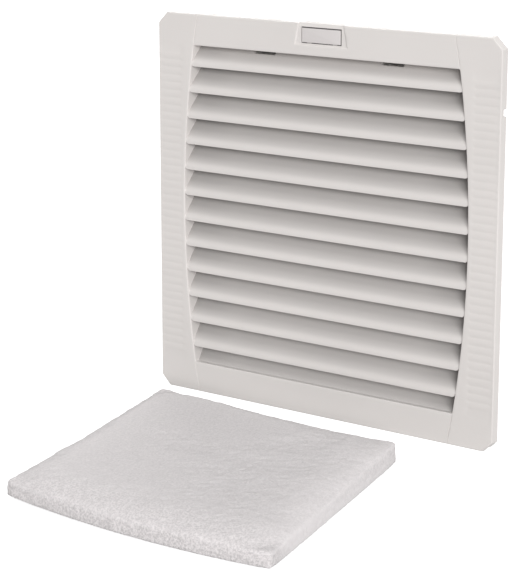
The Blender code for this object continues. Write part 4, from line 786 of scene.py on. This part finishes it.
def screw_shape(low, high):
    """A pan-headed screw along Y that fills a box: rings from its tip to the top of its head.

    Points of the head's top that are near an arm of a cross are pressed in.
    """
    centre, seat, steps = ((low + high) / 2)[[0, 2]], high[1] - 2.3, 24
    tip = seat + 0.3 - (high[1] - low[1] - 2.0)
    head = [
        (1.7, 0.3), (3.3, 0.3), (3.4, 0.7), (3.2, 1.7), (2.6, 2.15), (1.9, 2.3), (1.2, 2.3), (0.5, 2.3), (0.05, 2.3)]
    rings = [(1.7, tip)] + [(radius, seat + rise) for radius, rise in head]
    points, faces = lathe(rings, steps, centre, closed=False)
    off = points[:, [0, 2]] - centre
    cross = (np.abs(off).min(axis=1) < 0.42) & (np.linalg.norm(off, axis=1) < 2.0) & (points[:, 1] > seat + 1)
    points[:, 1] -= 0.8 * cross
    return points, faces


# Fleece mat

# Places on the floor of the mat's near left, near right, far right and far left corners, and their lift
MAT_CORNERS = np.array([(-81.5, -297.0), (156.0, -297.5), (113.0, -63.5), (-119.0, -61.5)])
CORNER_LIFT = (2.5, 0.5, 0.5, 7.5)
SWELL_FRAMES = 20  # steps of the cloth simulation


def waves(points, lengths, count, seed):
    """A smooth random field: the mean of many plane waves of random direction and phase."""
    chance = np.random.default_rng(seed)
    total = np.zeros(len(points))
    for _ in range(count):
        direction = chance.normal(size=points.shape[1])
        direction /= np.linalg.norm(direction)
        size = chance.uniform(*lengths)
        total += np.sin(points @ direction * (2 * np.pi / size) + chance.uniform(0, 2 * np.pi))
    return total / math.sqrt(count)


def box_lattice(across, along, up):
    """The surface of a box as an even closed grid: places in cells from one corner, and the cells."""
    places = np.stack(np.meshgrid(*(np.arange(n + 1) for n in (across, along, up)), indexing="ij"), axis=-1)
    outside = ((places == 0) | (places == (across, along, up))).any(axis=-1)
    index = np.full(outside.shape, -1)
    index[outside] = np.arange(outside.sum())
    sides = (index[0], index[-1], index[:, 0], index[:, -1], index[:, :, 0], index[:, :, -1])
    cells = [np.stack([g[:-1, :-1], g[1:, :-1], g[1:, 1:], g[:-1, 1:]], axis=-1).reshape(-1, 4) for g in sides]
    return places[outside], np.concatenate(cells).tolist()


def on_mat(square, belly):
    """Carries points of the square from -1 to 1 onto the mat: a bilinear map of its four corners.

    The near side bulges by belly times one less the squared place along it.
    """
    u, v = square[:, 0:1], square[:, 1:2]
    near_left, near_right, far_right, far_left = MAT_CORNERS
    place = (near_left * (1 - u) * (1 - v) + near_right * (1 + u) * (1 - v)
             + far_right * (1 + u) * (1 + v) + far_left * (1 - u) * (1 + v)) / 4
    place[:, 1] -= belly * (1 - u[:, 0] ** 2) * ((1 - v[:, 0]) / 2) ** 2
    return place


def mat_blank(sizes):
    """The mat before it swells: upright cut sides as high as the rim, and a crowned top.

    The top rises as one less the cube of what is left of the way in from the edge, where the way in is taken
    from an eighth-power superellipse. The corners are drawn in by the fourteenth power of u times v, and the
    rim is higher towards the far right corner.
    """
    half = np.linalg.norm(MAT_CORNERS[1] - MAT_CORNERS[0]) / 2
    count, up = round(2 * half / (sizes.cell / MM)), round(sizes.rim / sizes.cell)
    places, cells = box_lattice(count, count, up)
    square = places[:, :2] * 2 / count - 1
    rim, height = sizes.rim / MM + 4.5 * ((1 + square) / 2).prod(axis=1) ** 2, sizes.thickness / MM - 1
    inward = 1 - (np.abs(square) ** 8).sum(axis=1) ** 0.125
    crown = 1 - (1 - ramp(inward, 0, sizes.crown / MM / half)) ** 3
    z = np.where(places[:, 2] == up, rim + (height - rim) * crown, places[:, 2] / up * rim)
    square *= (1 - sizes.loft / MM / half - 0.012 * np.abs(square.prod(axis=1)) ** 14)[:, None]
    return np.column_stack([on_mat(square, sizes.belly / MM), z + MAT_LOW.z / MM]), cells


def vectors(points, key):
    """A vector of each of a mesh's points, such as its place, as three columns."""
    values = np.empty(len(points) * 3)
    points.foreach_get(key, values)
    return values.reshape(-1, 3)


def evaluated(thing):
    """A new mesh of an object as its modifiers leave it."""
    return bpy.data.meshes.new_from_object(thing.evaluated_get(bpy.context.evaluated_depsgraph_get()))


def swell(made, sizes):
    """Lets the fleece swell as cloth under pressure, with each point's movement capped."""
    scene = bpy.context.scene
    start = vectors(made.data.vertices, "co")
    cloth = made.modifiers.new("swell", "CLOTH")
    cloth.settings.use_pressure = True
    cloth.settings.uniform_pressure_force = 4
    cloth.settings.effector_weights.gravity = 0
    cloth.settings.tension_stiffness = 25
    cloth.settings.compression_stiffness = 25
    cloth.settings.mass = 0.4
    cloth.collision_settings.use_self_collision = False
    scene.frame_start, scene.frame_end = 1, SWELL_FRAMES
    for step in range(1, SWELL_FRAMES + 1):
        scene.frame_set(step)
    moved = evaluated(made)
    shift = vectors(moved.vertices, "co") - start
    bpy.data.meshes.remove(moved)
    made.modifiers.remove(cloth)
    scene.frame_set(1)
    far = np.linalg.norm(shift, axis=1, keepdims=True)
    shift *= np.minimum(1, sizes.loft / np.maximum(far, 1e-9)) * ramp(start[:, 2:] - MAT_LOW.z, 0.001, 0.008)
    made.data.vertices.foreach_set("co", (start + shift).ravel())


def soften(made, sizes):
    """Subdivides the swollen mat, roughens it with waves, lifts its corners and rests it on the floor.

    Two attributes go to the finish: cut is how steep the surface is, and rim is painted light that falls from the
    edge inwards and is strongest on the right side.
    """
    modifier = made.modifiers.new("finer", "SUBSURF")
    modifier.levels = modifier.render_levels = 1
    mesh = evaluated(made)
    made.modifiers.clear()
    made.data = mesh
    points, normals = vectors(mesh.vertices, "co") / MM, vectors(mesh.vertices, "normal")
    floor, height = MAT_LOW.z / MM, sizes.thickness / MM
    cut = ramp(1 - np.abs(normals[:, 2]), 0.15, 0.75)
    lumps = 0.30 * waves(points, (22, 60), 24, 3) + 0.16 * waves(points, (6, 12), 30, 5)
    fuzz = waves(points, (2.4, 4.5), 40, 7) * (0.10 + 0.16 * cut)
    above = ramp(points[:, 2] - floor, 1.0, 7.0) * (1 - 0.7 * cut)
    points += normals * (lumps * above + fuzz)[:, None]
    centre = MAT_CORNERS.mean(axis=0)
    across = (MAT_CORNERS[1] + MAT_CORNERS[2] - MAT_CORNERS[0] - MAT_CORNERS[3]) / 4
    along = (MAT_CORNERS[2] + MAT_CORNERS[3] - MAT_CORNERS[0] - MAT_CORNERS[1]) / 4
    u, v = np.linalg.solve(np.column_stack([across, along]), (points[:, :2] - centre).T)
    rise = points[:, 2] - floor
    rise *= 1 + (height / rise.max() - 1) * ramp(rise, 0, height)
    rise += 0.5 * waves(points[:, :2], (90, 160), 8, 11) * ramp(rise, 6, 18)
    signs = ((-1, -1), (1, -1), (1, 1), (-1, 1))
    for (a, b), lift in zip(signs, CORNER_LIFT):
        rise += lift * np.clip((1 + a * u) * (1 + b * v) / 4, 0, 1) ** 2
    points[:, 2] = floor + np.clip(rise, 0, height)
    # Painted light: the right side, which faces the key lamp, takes the top's texture and a strong rim value
    right = ramp(u, 0.955, 0.985) * ramp(normals[:, 0], 0.2, 0.6) * ramp(v, -0.98, -0.7)
    # Painted light along every edge, fading inwards
    rim = 0.24 * (1 - ramp(np.minimum(1 - np.abs(u), 1 - np.abs(v)), 0.0, 0.42))
    rim = np.maximum(rim, 0.9 * right)
    cut = np.maximum(cut * (1 - 0.7 * right), 0.8 * ramp(-v, 0.66, 0.95) * (1 - right))
    mesh.vertices.foreach_set("co", (points * MM).ravel())
    mark(mesh, "cut", cut)
    mark(mesh, "rim", rim)
    mesh.shade_smooth()
    mesh.update()


# Materials

class Nodes:
    """A node tree, filled node by node."""

    def __init__(self, tree):
        self.tree = tree

    def fill(self, node, values):
        """Fills a node's inputs, by name or number, with another node's outputs, numbers or colours."""
        for key, value in values.items():
            socket = node.inputs[key if isinstance(key, int) else key.replace("_", " ")]
            if isinstance(value, bpy.types.NodeSocket):
                self.tree.links.new(value, socket)
            else:
                socket.default_value = (*value, 1) if socket.type == "RGBA" else value

    def add(self, kind, settings=None, **values):
        """Adds a node with its settings and its inputs."""
        node = self.tree.nodes.new(kind)
        for key, value in (settings or {}).items():
            setattr(node, key, value)
        self.fill(node, values)
        return node

    def spread(self, value, low, high, start=0.3, end=0.7):
        """Maps a value from start..end to low..high."""
        return self.add("ShaderNodeMapRange", Value=value, From_Min=start, From_Max=end, To_Min=low,
                        To_Max=high).outputs["Result"]

    def math(self, operation, first, second):
        """A sum, product, largest or other result of two values."""
        node = self.add("ShaderNodeMath", {"operation": operation})
        self.fill(node, {0: first, 1: second})
        return node.outputs["Value"]

    def seen_directly(self):
        """1 where the camera sees the surface directly, in a mirror or through glass."""
        path = self.add("ShaderNodeLightPath").outputs
        seen = self.math("MAXIMUM", path["Is Camera Ray"], path["Is Glossy Ray"])
        return self.math("MAXIMUM", seen, path["Is Transmission Ray"])


class Finish(Nodes):
    """A material and its node tree."""

    def __init__(self, name):
        self.material = bpy.data.materials.new(name)
        self.material.use_nodes = True
        super().__init__(self.material.node_tree)
        self.place = self.add("ShaderNodeTexCoord").outputs["Object"]

    def noise(self, scale, detail=2.0, rough=0.5, distortion=0.0, source=None):
        """A noise's value over the piece, by scale per metre."""
        return self.add("ShaderNodeTexNoise", Vector=source or self.place, Scale=scale, Detail=detail,
                        Roughness=rough, Distortion=distortion).outputs["Fac"]

    def attribute(self, name):
        """The value that a mesh stores under a name, or 0."""
        return self.add("ShaderNodeAttribute", {"attribute_name": name}).outputs["Fac"]

    def turned(self, **values):
        """The place over the piece, turned or stretched."""
        return self.add("ShaderNodeMapping", Vector=self.place, **values).outputs["Vector"]

    def mix(self, value, first, second):
        """A colour between two colours or colour outputs."""
        node = self.add("ShaderNodeMix", {"data_type": "RGBA"})
        self.fill(node, {0: value, 6: first, 7: second})
        return node.outputs[2]

    def bump(self, height, distance, strength=1.0, below=None):
        """A bump from a height, on top of another where one is given."""
        node = self.add("ShaderNodeBump", Height=height, Distance=distance, Strength=strength)
        if below:
            self.fill(node, {"Normal": below})
        return node.outputs["Normal"]

    def done(self, **values):
        """Fills the shader's inputs and returns the material."""
        self.fill(self.tree.nodes["Principled BSDF"], values)
        return self.material


def shade(colour, factor):
    """A colour made darker or lighter by a factor."""
    return tuple(min(1.0, c * factor) for c in colour)


def moulded(name, colour, roughness=0.48, grain=0.00002, scale=1400):
    """A matt moulding: fine spark grain, faint flow marks in its gloss and a slight drift in its colour.

    Where a mesh carries its painted-shade attribute, that is painted shade: the share by which the colour darkens
    towards black.
    """
    finish = Finish(name)
    drift = finish.noise(9, 3)
    speck = finish.noise(scale, 3, 0.6)
    tone = finish.mix(finish.spread(drift, 0, 1), shade(colour, 0.975), shade(colour, 1.015))
    # Painted shade: the colour darkens towards black by the mesh's painted-shade attribute
    return finish.done(
        Base_Color=finish.mix(finish.attribute("painted_shade"), tone, (0, 0, 0)),
        Roughness=finish.spread(finish.noise(60, 4), roughness - 0.05, roughness + 0.06),
        Normal=finish.bump(speck, grain * 3, 0.35), IOR=1.5, Specular_IOR_Level=0.4)


def fleece_finish(name, colour):
    """Bonded fleece: tangled fibres as stretched noise in three directions, over loose lumps.

    On the cut sides coarse grains take over, their tone lifted a little as painted light, with painted shade in dark
    specks at the floor, and a painted highlight lightens the rim.
    """
    finish = Finish(name)
    cut, rim = finish.attribute("cut"), finish.attribute("rim")
    tangle = None
    for turn, scale in ((0.3, 560), (1.4, 660), (2.5, 780)):
        place = finish.turned(Rotation=(turn * 0.3, turn * 0.2, turn), Scale=(1.0, 0.65, 0.9))
        fibres = finish.noise(scale, 4, 0.65, 0.5, place)
        tangle = fibres if tangle is None else finish.math("MAXIMUM", tangle, fibres)
    grains = finish.noise(640, 4, 0.75)
    height = finish.add("ShaderNodeSeparateXYZ", Vector=finish.place).outputs["Z"]
    # Painted shade: on the cut sides, specks of the coarse grains darken towards the floor, where shade falls
    foot = finish.spread(height, 1, 0, MAT_LOW.z, MAT_LOW.z + 0.007)
    painted_foot_shade = finish.math("MULTIPLY", finish.math("MULTIPLY", cut, foot), finish.spread(grains, 1, 0, 0.36, 0.56))
    top = finish.mix(finish.spread(tangle, 0, 1, 0.46, 0.68), shade(colour, 0.88), shade(colour, 1.10))
    # The coarse grain of the cut sides, its range set a little lighter than the top's as painted light
    side = finish.mix(finish.spread(grains, 0, 1, 0.42, 0.58), shade(colour, 0.80), shade(colour, 1.26))
    tone = finish.mix(cut, top, side)
    # Painted light: the rim attribute lightens the edges and the right side
    tone = finish.mix(rim, tone, shade(colour, 1.2))
    # Painted shade: the dark specks near the floor
    tone = finish.mix(finish.math("MULTIPLY", painted_foot_shade, 0.3), tone, shade(colour, 0.45))
    below = finish.bump(finish.noise(95, 4, 0.6), 0.0012, 0.5)
    rough = finish.bump(grains, 0.0012, finish.spread(cut, 0.1, 0.8, 0, 1), below)
    return finish.done(
        Base_Color=tone, Normal=finish.bump(tangle, 0.0007, 0.7, rough), Roughness=0.95,
        Sheen_Weight=0.25, Sheen_Roughness=0.6, Specular_IOR_Level=0.2,
        Subsurface_Weight=0.25, Subsurface_Scale=0.004, Subsurface_Radius=(1.0, 1.0, 1.0))


def metal(name, colour, roughness, grain_scale=900, grain=0.00003, mottle=0.12, stretch=(1, 1, 1)):
    """A dull metal: fine grain in its roughness and its bumps, and patches of a little darker and lighter colour."""
    finish = Finish(name)
    patches = finish.noise(45, 5, 0.6)
    grains = finish.noise(grain_scale, 3, 0.6, 0.0, finish.turned(Scale=stretch))
    return finish.done(
        Base_Color=finish.mix(finish.spread(patches, 0, 1), shade(colour, 1 - mottle), shade(colour, 1 + mottle)),
        Roughness=finish.spread(grains, roughness - 0.08, roughness + 0.1),
        Normal=finish.bump(grains, grain * 3, 0.4), Metallic=1.0)


def foam_finish(name, colour):
    """Closed-cell foam: small cells as a bump, dull and dark."""
    finish = Finish(name)
    cells = finish.add("ShaderNodeTexVoronoi", Vector=finish.place, Scale=1300.0)
    return finish.done(
        Base_Color=finish.mix(finish.spread(finish.noise(300), 0, 1), shade(colour, 0.7), shade(colour, 1.5)),
        Normal=finish.bump(cells.outputs["Distance"], 0.0002, 0.6), Roughness=0.9)


def material_set(colours):
    """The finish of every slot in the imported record."""
    rows = {
        "cover_plastic": (moulded, tuple(colours.cover)),
        "button_plastic": (moulded, tuple(colours.button), 0.42, 0.00001),
        "frame_plastic": (moulded, tuple(colours.frame), 0.52, 0.00003, 1100),
        "gasket_foam": (foam_finish, (0.03, 0.03, 0.03)),
        "mat_fleece": (fleece_finish, tuple(colours.fleece)),
        "black_plastic": (moulded, (0.022, 0.022, 0.023), 0.42, 0.00002),
        "cast_aluminium": (metal, (0.48, 0.49, 0.50), 0.5, 700, 0.00009),
        "steel": (metal, (0.62, 0.62, 0.61), 0.3, 1500, 0.00001),
        "lamination_steel": (metal, (0.25, 0.25, 0.27), 0.5, 2000, 0.00005, 0.12, (0.05, 1, 0.05)),
        "copper": (metal, (0.72, 0.33, 0.16), 0.32, 2600, 0.00008, 0.2),
        "terminal_plastic": (moulded, (0.35, 0.36, 0.37), 0.5),
        "lead_jacket": (moulded, (0.05, 0.05, 0.05), 0.55),
    }
    return {slot: make(slot + "_dressed", *values) for slot, (make, *values) in rows.items()}


# Operators

def settings():
    """The scene's sizes and colours."""
    return bpy.context.scene.filter_fan


class FinishesOperator(bpy.types.Operator):
    """Makes every finish and gives the carried-over solids theirs"""
    bl_idname = "filter_fan.finishes"
    bl_label = "Finishes"

    def execute(self, context):
        made = material_set(settings().colours)
        slots = {row["node"]: row["material_slot"] for row in frame["record"]["subparts"]}
        for node, thing in frame["nodes"].items():
            thing.data.materials.clear()
            thing.data.materials.append(made[slots[node]])
        return {"FINISHED"}


class CoverOperator(bpy.types.Operator):
    """Builds the louvred cover: bezel, blades, slot tabs, hinge ears and latch lugs"""
    bl_idname = "filter_fan.cover"
    bl_label = "Louvred cover"

    def execute(self, context):
        cover, blades = settings().cover, settings().blades
        bezel = louvre_bezel(cover)
        slats = together(*(louvre_blade(cover, blades, number) for number in range(blades.count)))
        tabs = together(*slot_tabs(cover, blades))
        shape = together(bezel, slats, tabs, *cover_fittings())
        made = piece("louvred_front", shape, "cover", "cover_plastic", ["louvre_cover"], 32)
        painted_shade = np.zeros(len(shape[0]))
        first, last = len(bezel[0]), len(bezel[0]) + len(slats[0])
        # Painted shade on the blades: darker behind the bend and in the corners at both ends
        painted_shade[first:last] = blade_painted_shade(cover, slats[0])
        # Painted shade: the slot tabs are darkened so the hook slots read as shadow
        painted_shade[last:last + len(tabs[0])] = 0.85
        mark(made.data, "painted_shade", painted_shade)
        return {"FINISHED"}


class ButtonOperator(bpy.types.Operator):
    """Builds the push button with its crank arms"""
    bl_idname = "filter_fan.button"
    bl_label = "Push button"

    def execute(self, context):
        shape = button_shape()
        made = piece("push_button", shape, "latch", "button_plastic", ["latch_button"], 40)
        # Painted shade: the flange behind the gap round the cap is darkened so the gap reads as shadow
        on_flange = (np.abs(shape[0][:, 0]) > 19) & (shape[0][:, 1] < -4.5)
        mark(made.data, "painted_shade", 0.8 * on_flange)
        return {"FINISHED"}


class FanOperator(bpy.types.Operator):
    """Builds the fan wheel, its housing, the inlet shroud, the finger guard and their screws"""
    bl_idname = "filter_fan.fan"
    bl_label = "Fan"

    def execute(self, context):
        piece("fan_wheel", wheel_shape(), "rotor", "black_plastic", ["impeller"], 40)
        piece("fan_ring", housing_shape(), "frame", "cast_aluminium", ["fan_housing"], 40)
        piece("inlet_shroud", shroud_shape(), "frame", "frame_plastic", ["fan_shroud"], 40)
        piece("wire_guard", guard_shape(), "frame", "steel", ["finger_guard"], 50)
        for kind in ("shroud", "fan", "guard"):
            for number in range(1, 5):
                node = f"{kind}_screw_{number}"
                low, high = (np.array(corner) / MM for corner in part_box(node))
                piece(node + "_cross", screw_shape(low, high), "frame", "steel", [node], 40)
        return {"FINISHED"}


class MatOperator(bpy.types.Operator):
    """Builds the fleece mat and lets it swell"""
    bl_idname = "filter_fan.mat"
    bl_label = "Fleece mat"

    def execute(self, context):
        sizes = settings().mat
        made = piece("fleece_mat", mat_blank(sizes), "frame", "mat_fleece", ["filter_mat"], 180)
        made.parent = None
        swell(made, sizes)
        soften(made, sizes)
        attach(made, "frame")
        return {"FINISHED"}


def lamp(name, place, target, size, watts):
    """A rectangular lamp that points at a target."""
    light = bpy.data.lights.new(name, "AREA")
    light.shape = "RECTANGLE"
    light.size, light.size_y = size
    light.energy = watts
    thing = bpy.data.objects.new(name, light)
    bpy.context.scene.collection.objects.link(thing)
    thing.location = place
    thing.rotation_euler = (Vector(target) - Vector(place)).to_track_quat("-Z", "Y").to_euler()


CAMERA = (0.8337, -1.2784, 0.3354)
CAMERA_DOWN, CAMERA_RIGHT = 12.66, 35.17  # degrees that it looks down, and that it stands to the right
FLOOR_REACH = 8.0  # half the floor's side, in metres


class StageOperator(bpy.types.Operator):
    """Makes the floor, the light and the camera"""
    bl_idname = "filter_fan.stage"
    bl_label = "Stage"

    def execute(self, context):
        scene, stage = context.scene, settings().stage
        scene.view_settings.view_transform = "Standard"
        world = bpy.data.worlds.new("studio")
        scene.world = world
        world.use_nodes = True
        sky = Nodes(world.node_tree)
        strength = sky.spread(sky.seen_directly(), stage.sky, 1.0, 0, 1)
        sky.fill(sky.tree.nodes["Background"], {"Color": (1.0, 0.995, 0.99), "Strength": strength})
        floor_mesh = bpy.data.meshes.new("floor")
        corners = [(x * FLOOR_REACH, y * FLOOR_REACH, stage.floor) for x, y in ((-1, -1), (1, -1), (1, 1), (-1, 1))]
        floor_mesh.from_pydata(corners, [], [(0, 1, 2, 3)])
        floor = bpy.data.objects.new("floor", floor_mesh)
        scene.collection.objects.link(floor)
        floor_mesh.materials.append(floor_finish())
        lamp("key_lamp", (6.24, -6.02, 2.25), (0, -0.05, 0.0), (4.3, 3.2), stage.key)
        lamp("back_lamp", (-1.8, 2.6, 1.6), (0, 0, 0), (1.6, 1.6), stage.back)
        lamp("top_lamp", (0, -0.7, 2.6), (0, -0.1, 0), (2.2, 2.2), stage.top)
        camera = bpy.data.objects.new("camera", bpy.data.cameras.new("camera"))
        scene.collection.objects.link(camera)
        camera.data.lens = stage.lens
        camera.data.sensor_width = 36
        camera.data.shift_y = -0.1
        camera.data.clip_start, camera.data.clip_end = 0.05, 20
        camera.location = CAMERA
        camera.rotation_euler = (math.radians(90 - CAMERA_DOWN), 0, math.radians(CAMERA_RIGHT))
        scene.camera = camera
        return {"FINISHED"}


def floor_finish():
    """A pale floor that looks white where it is lit and still takes the object's shadow."""
    finish = Finish("floor_paper")
    return finish.done(
        Base_Color=finish.mix(finish.noise(3), (0.51, 0.51, 0.51), (0.53, 0.53, 0.53)), Roughness=1.0,
        Specular_IOR_Level=0.0, Emission_Color=(1, 1, 1),
        Emission_Strength=finish.spread(finish.seen_directly(), 0, 0.84, 0, 1))


STEPS = (FinishesOperator, CoverOperator, ButtonOperator, FanOperator, MatOperator, StageOperator)


class FilterFanSettings(bpy.types.PropertyGroup):
    """All sizes and colours of the filter fan."""
    cover: PointerProperty(type=CoverSizes)
    blades: PointerProperty(type=BladeSizes)
    mat: PointerProperty(type=MatSizes)
    colours: PointerProperty(type=Colours)
    stage: PointerProperty(type=StageSettings)


class FilterFanPanel(bpy.types.Panel):
    """Lists the steps that build the filter fan"""
    bl_idname = "VIEW3D_PT_filter_fan"
    bl_label = "Filter fan"
    bl_space_type = "VIEW_3D"
    bl_region_type = "UI"
    bl_category = "Filter Fan"

    def draw(self, context):
        for step in STEPS:
            self.layout.operator(step.bl_idname)


CLASSES = (CoverSizes, BladeSizes, MatSizes, Colours, StageSettings, FilterFanSettings, *STEPS, FilterFanPanel)


def register():
    """Makes the classes and the scene's settings known to Blender."""
    for cls in CLASSES:
        bpy.utils.register_class(cls)
    bpy.types.Scene.filter_fan = PointerProperty(type=FilterFanSettings)


def unregister():
    """Takes back what register made known."""
    del bpy.types.Scene.filter_fan
    for cls in reversed(CLASSES):
        bpy.utils.unregister_class(cls)


def main():
    register()
    for step in STEPS:
        area, name = step.bl_idname.split(".")
        getattr(getattr(bpy.ops, area), name)()


if __name__ == "__main__":
    main()
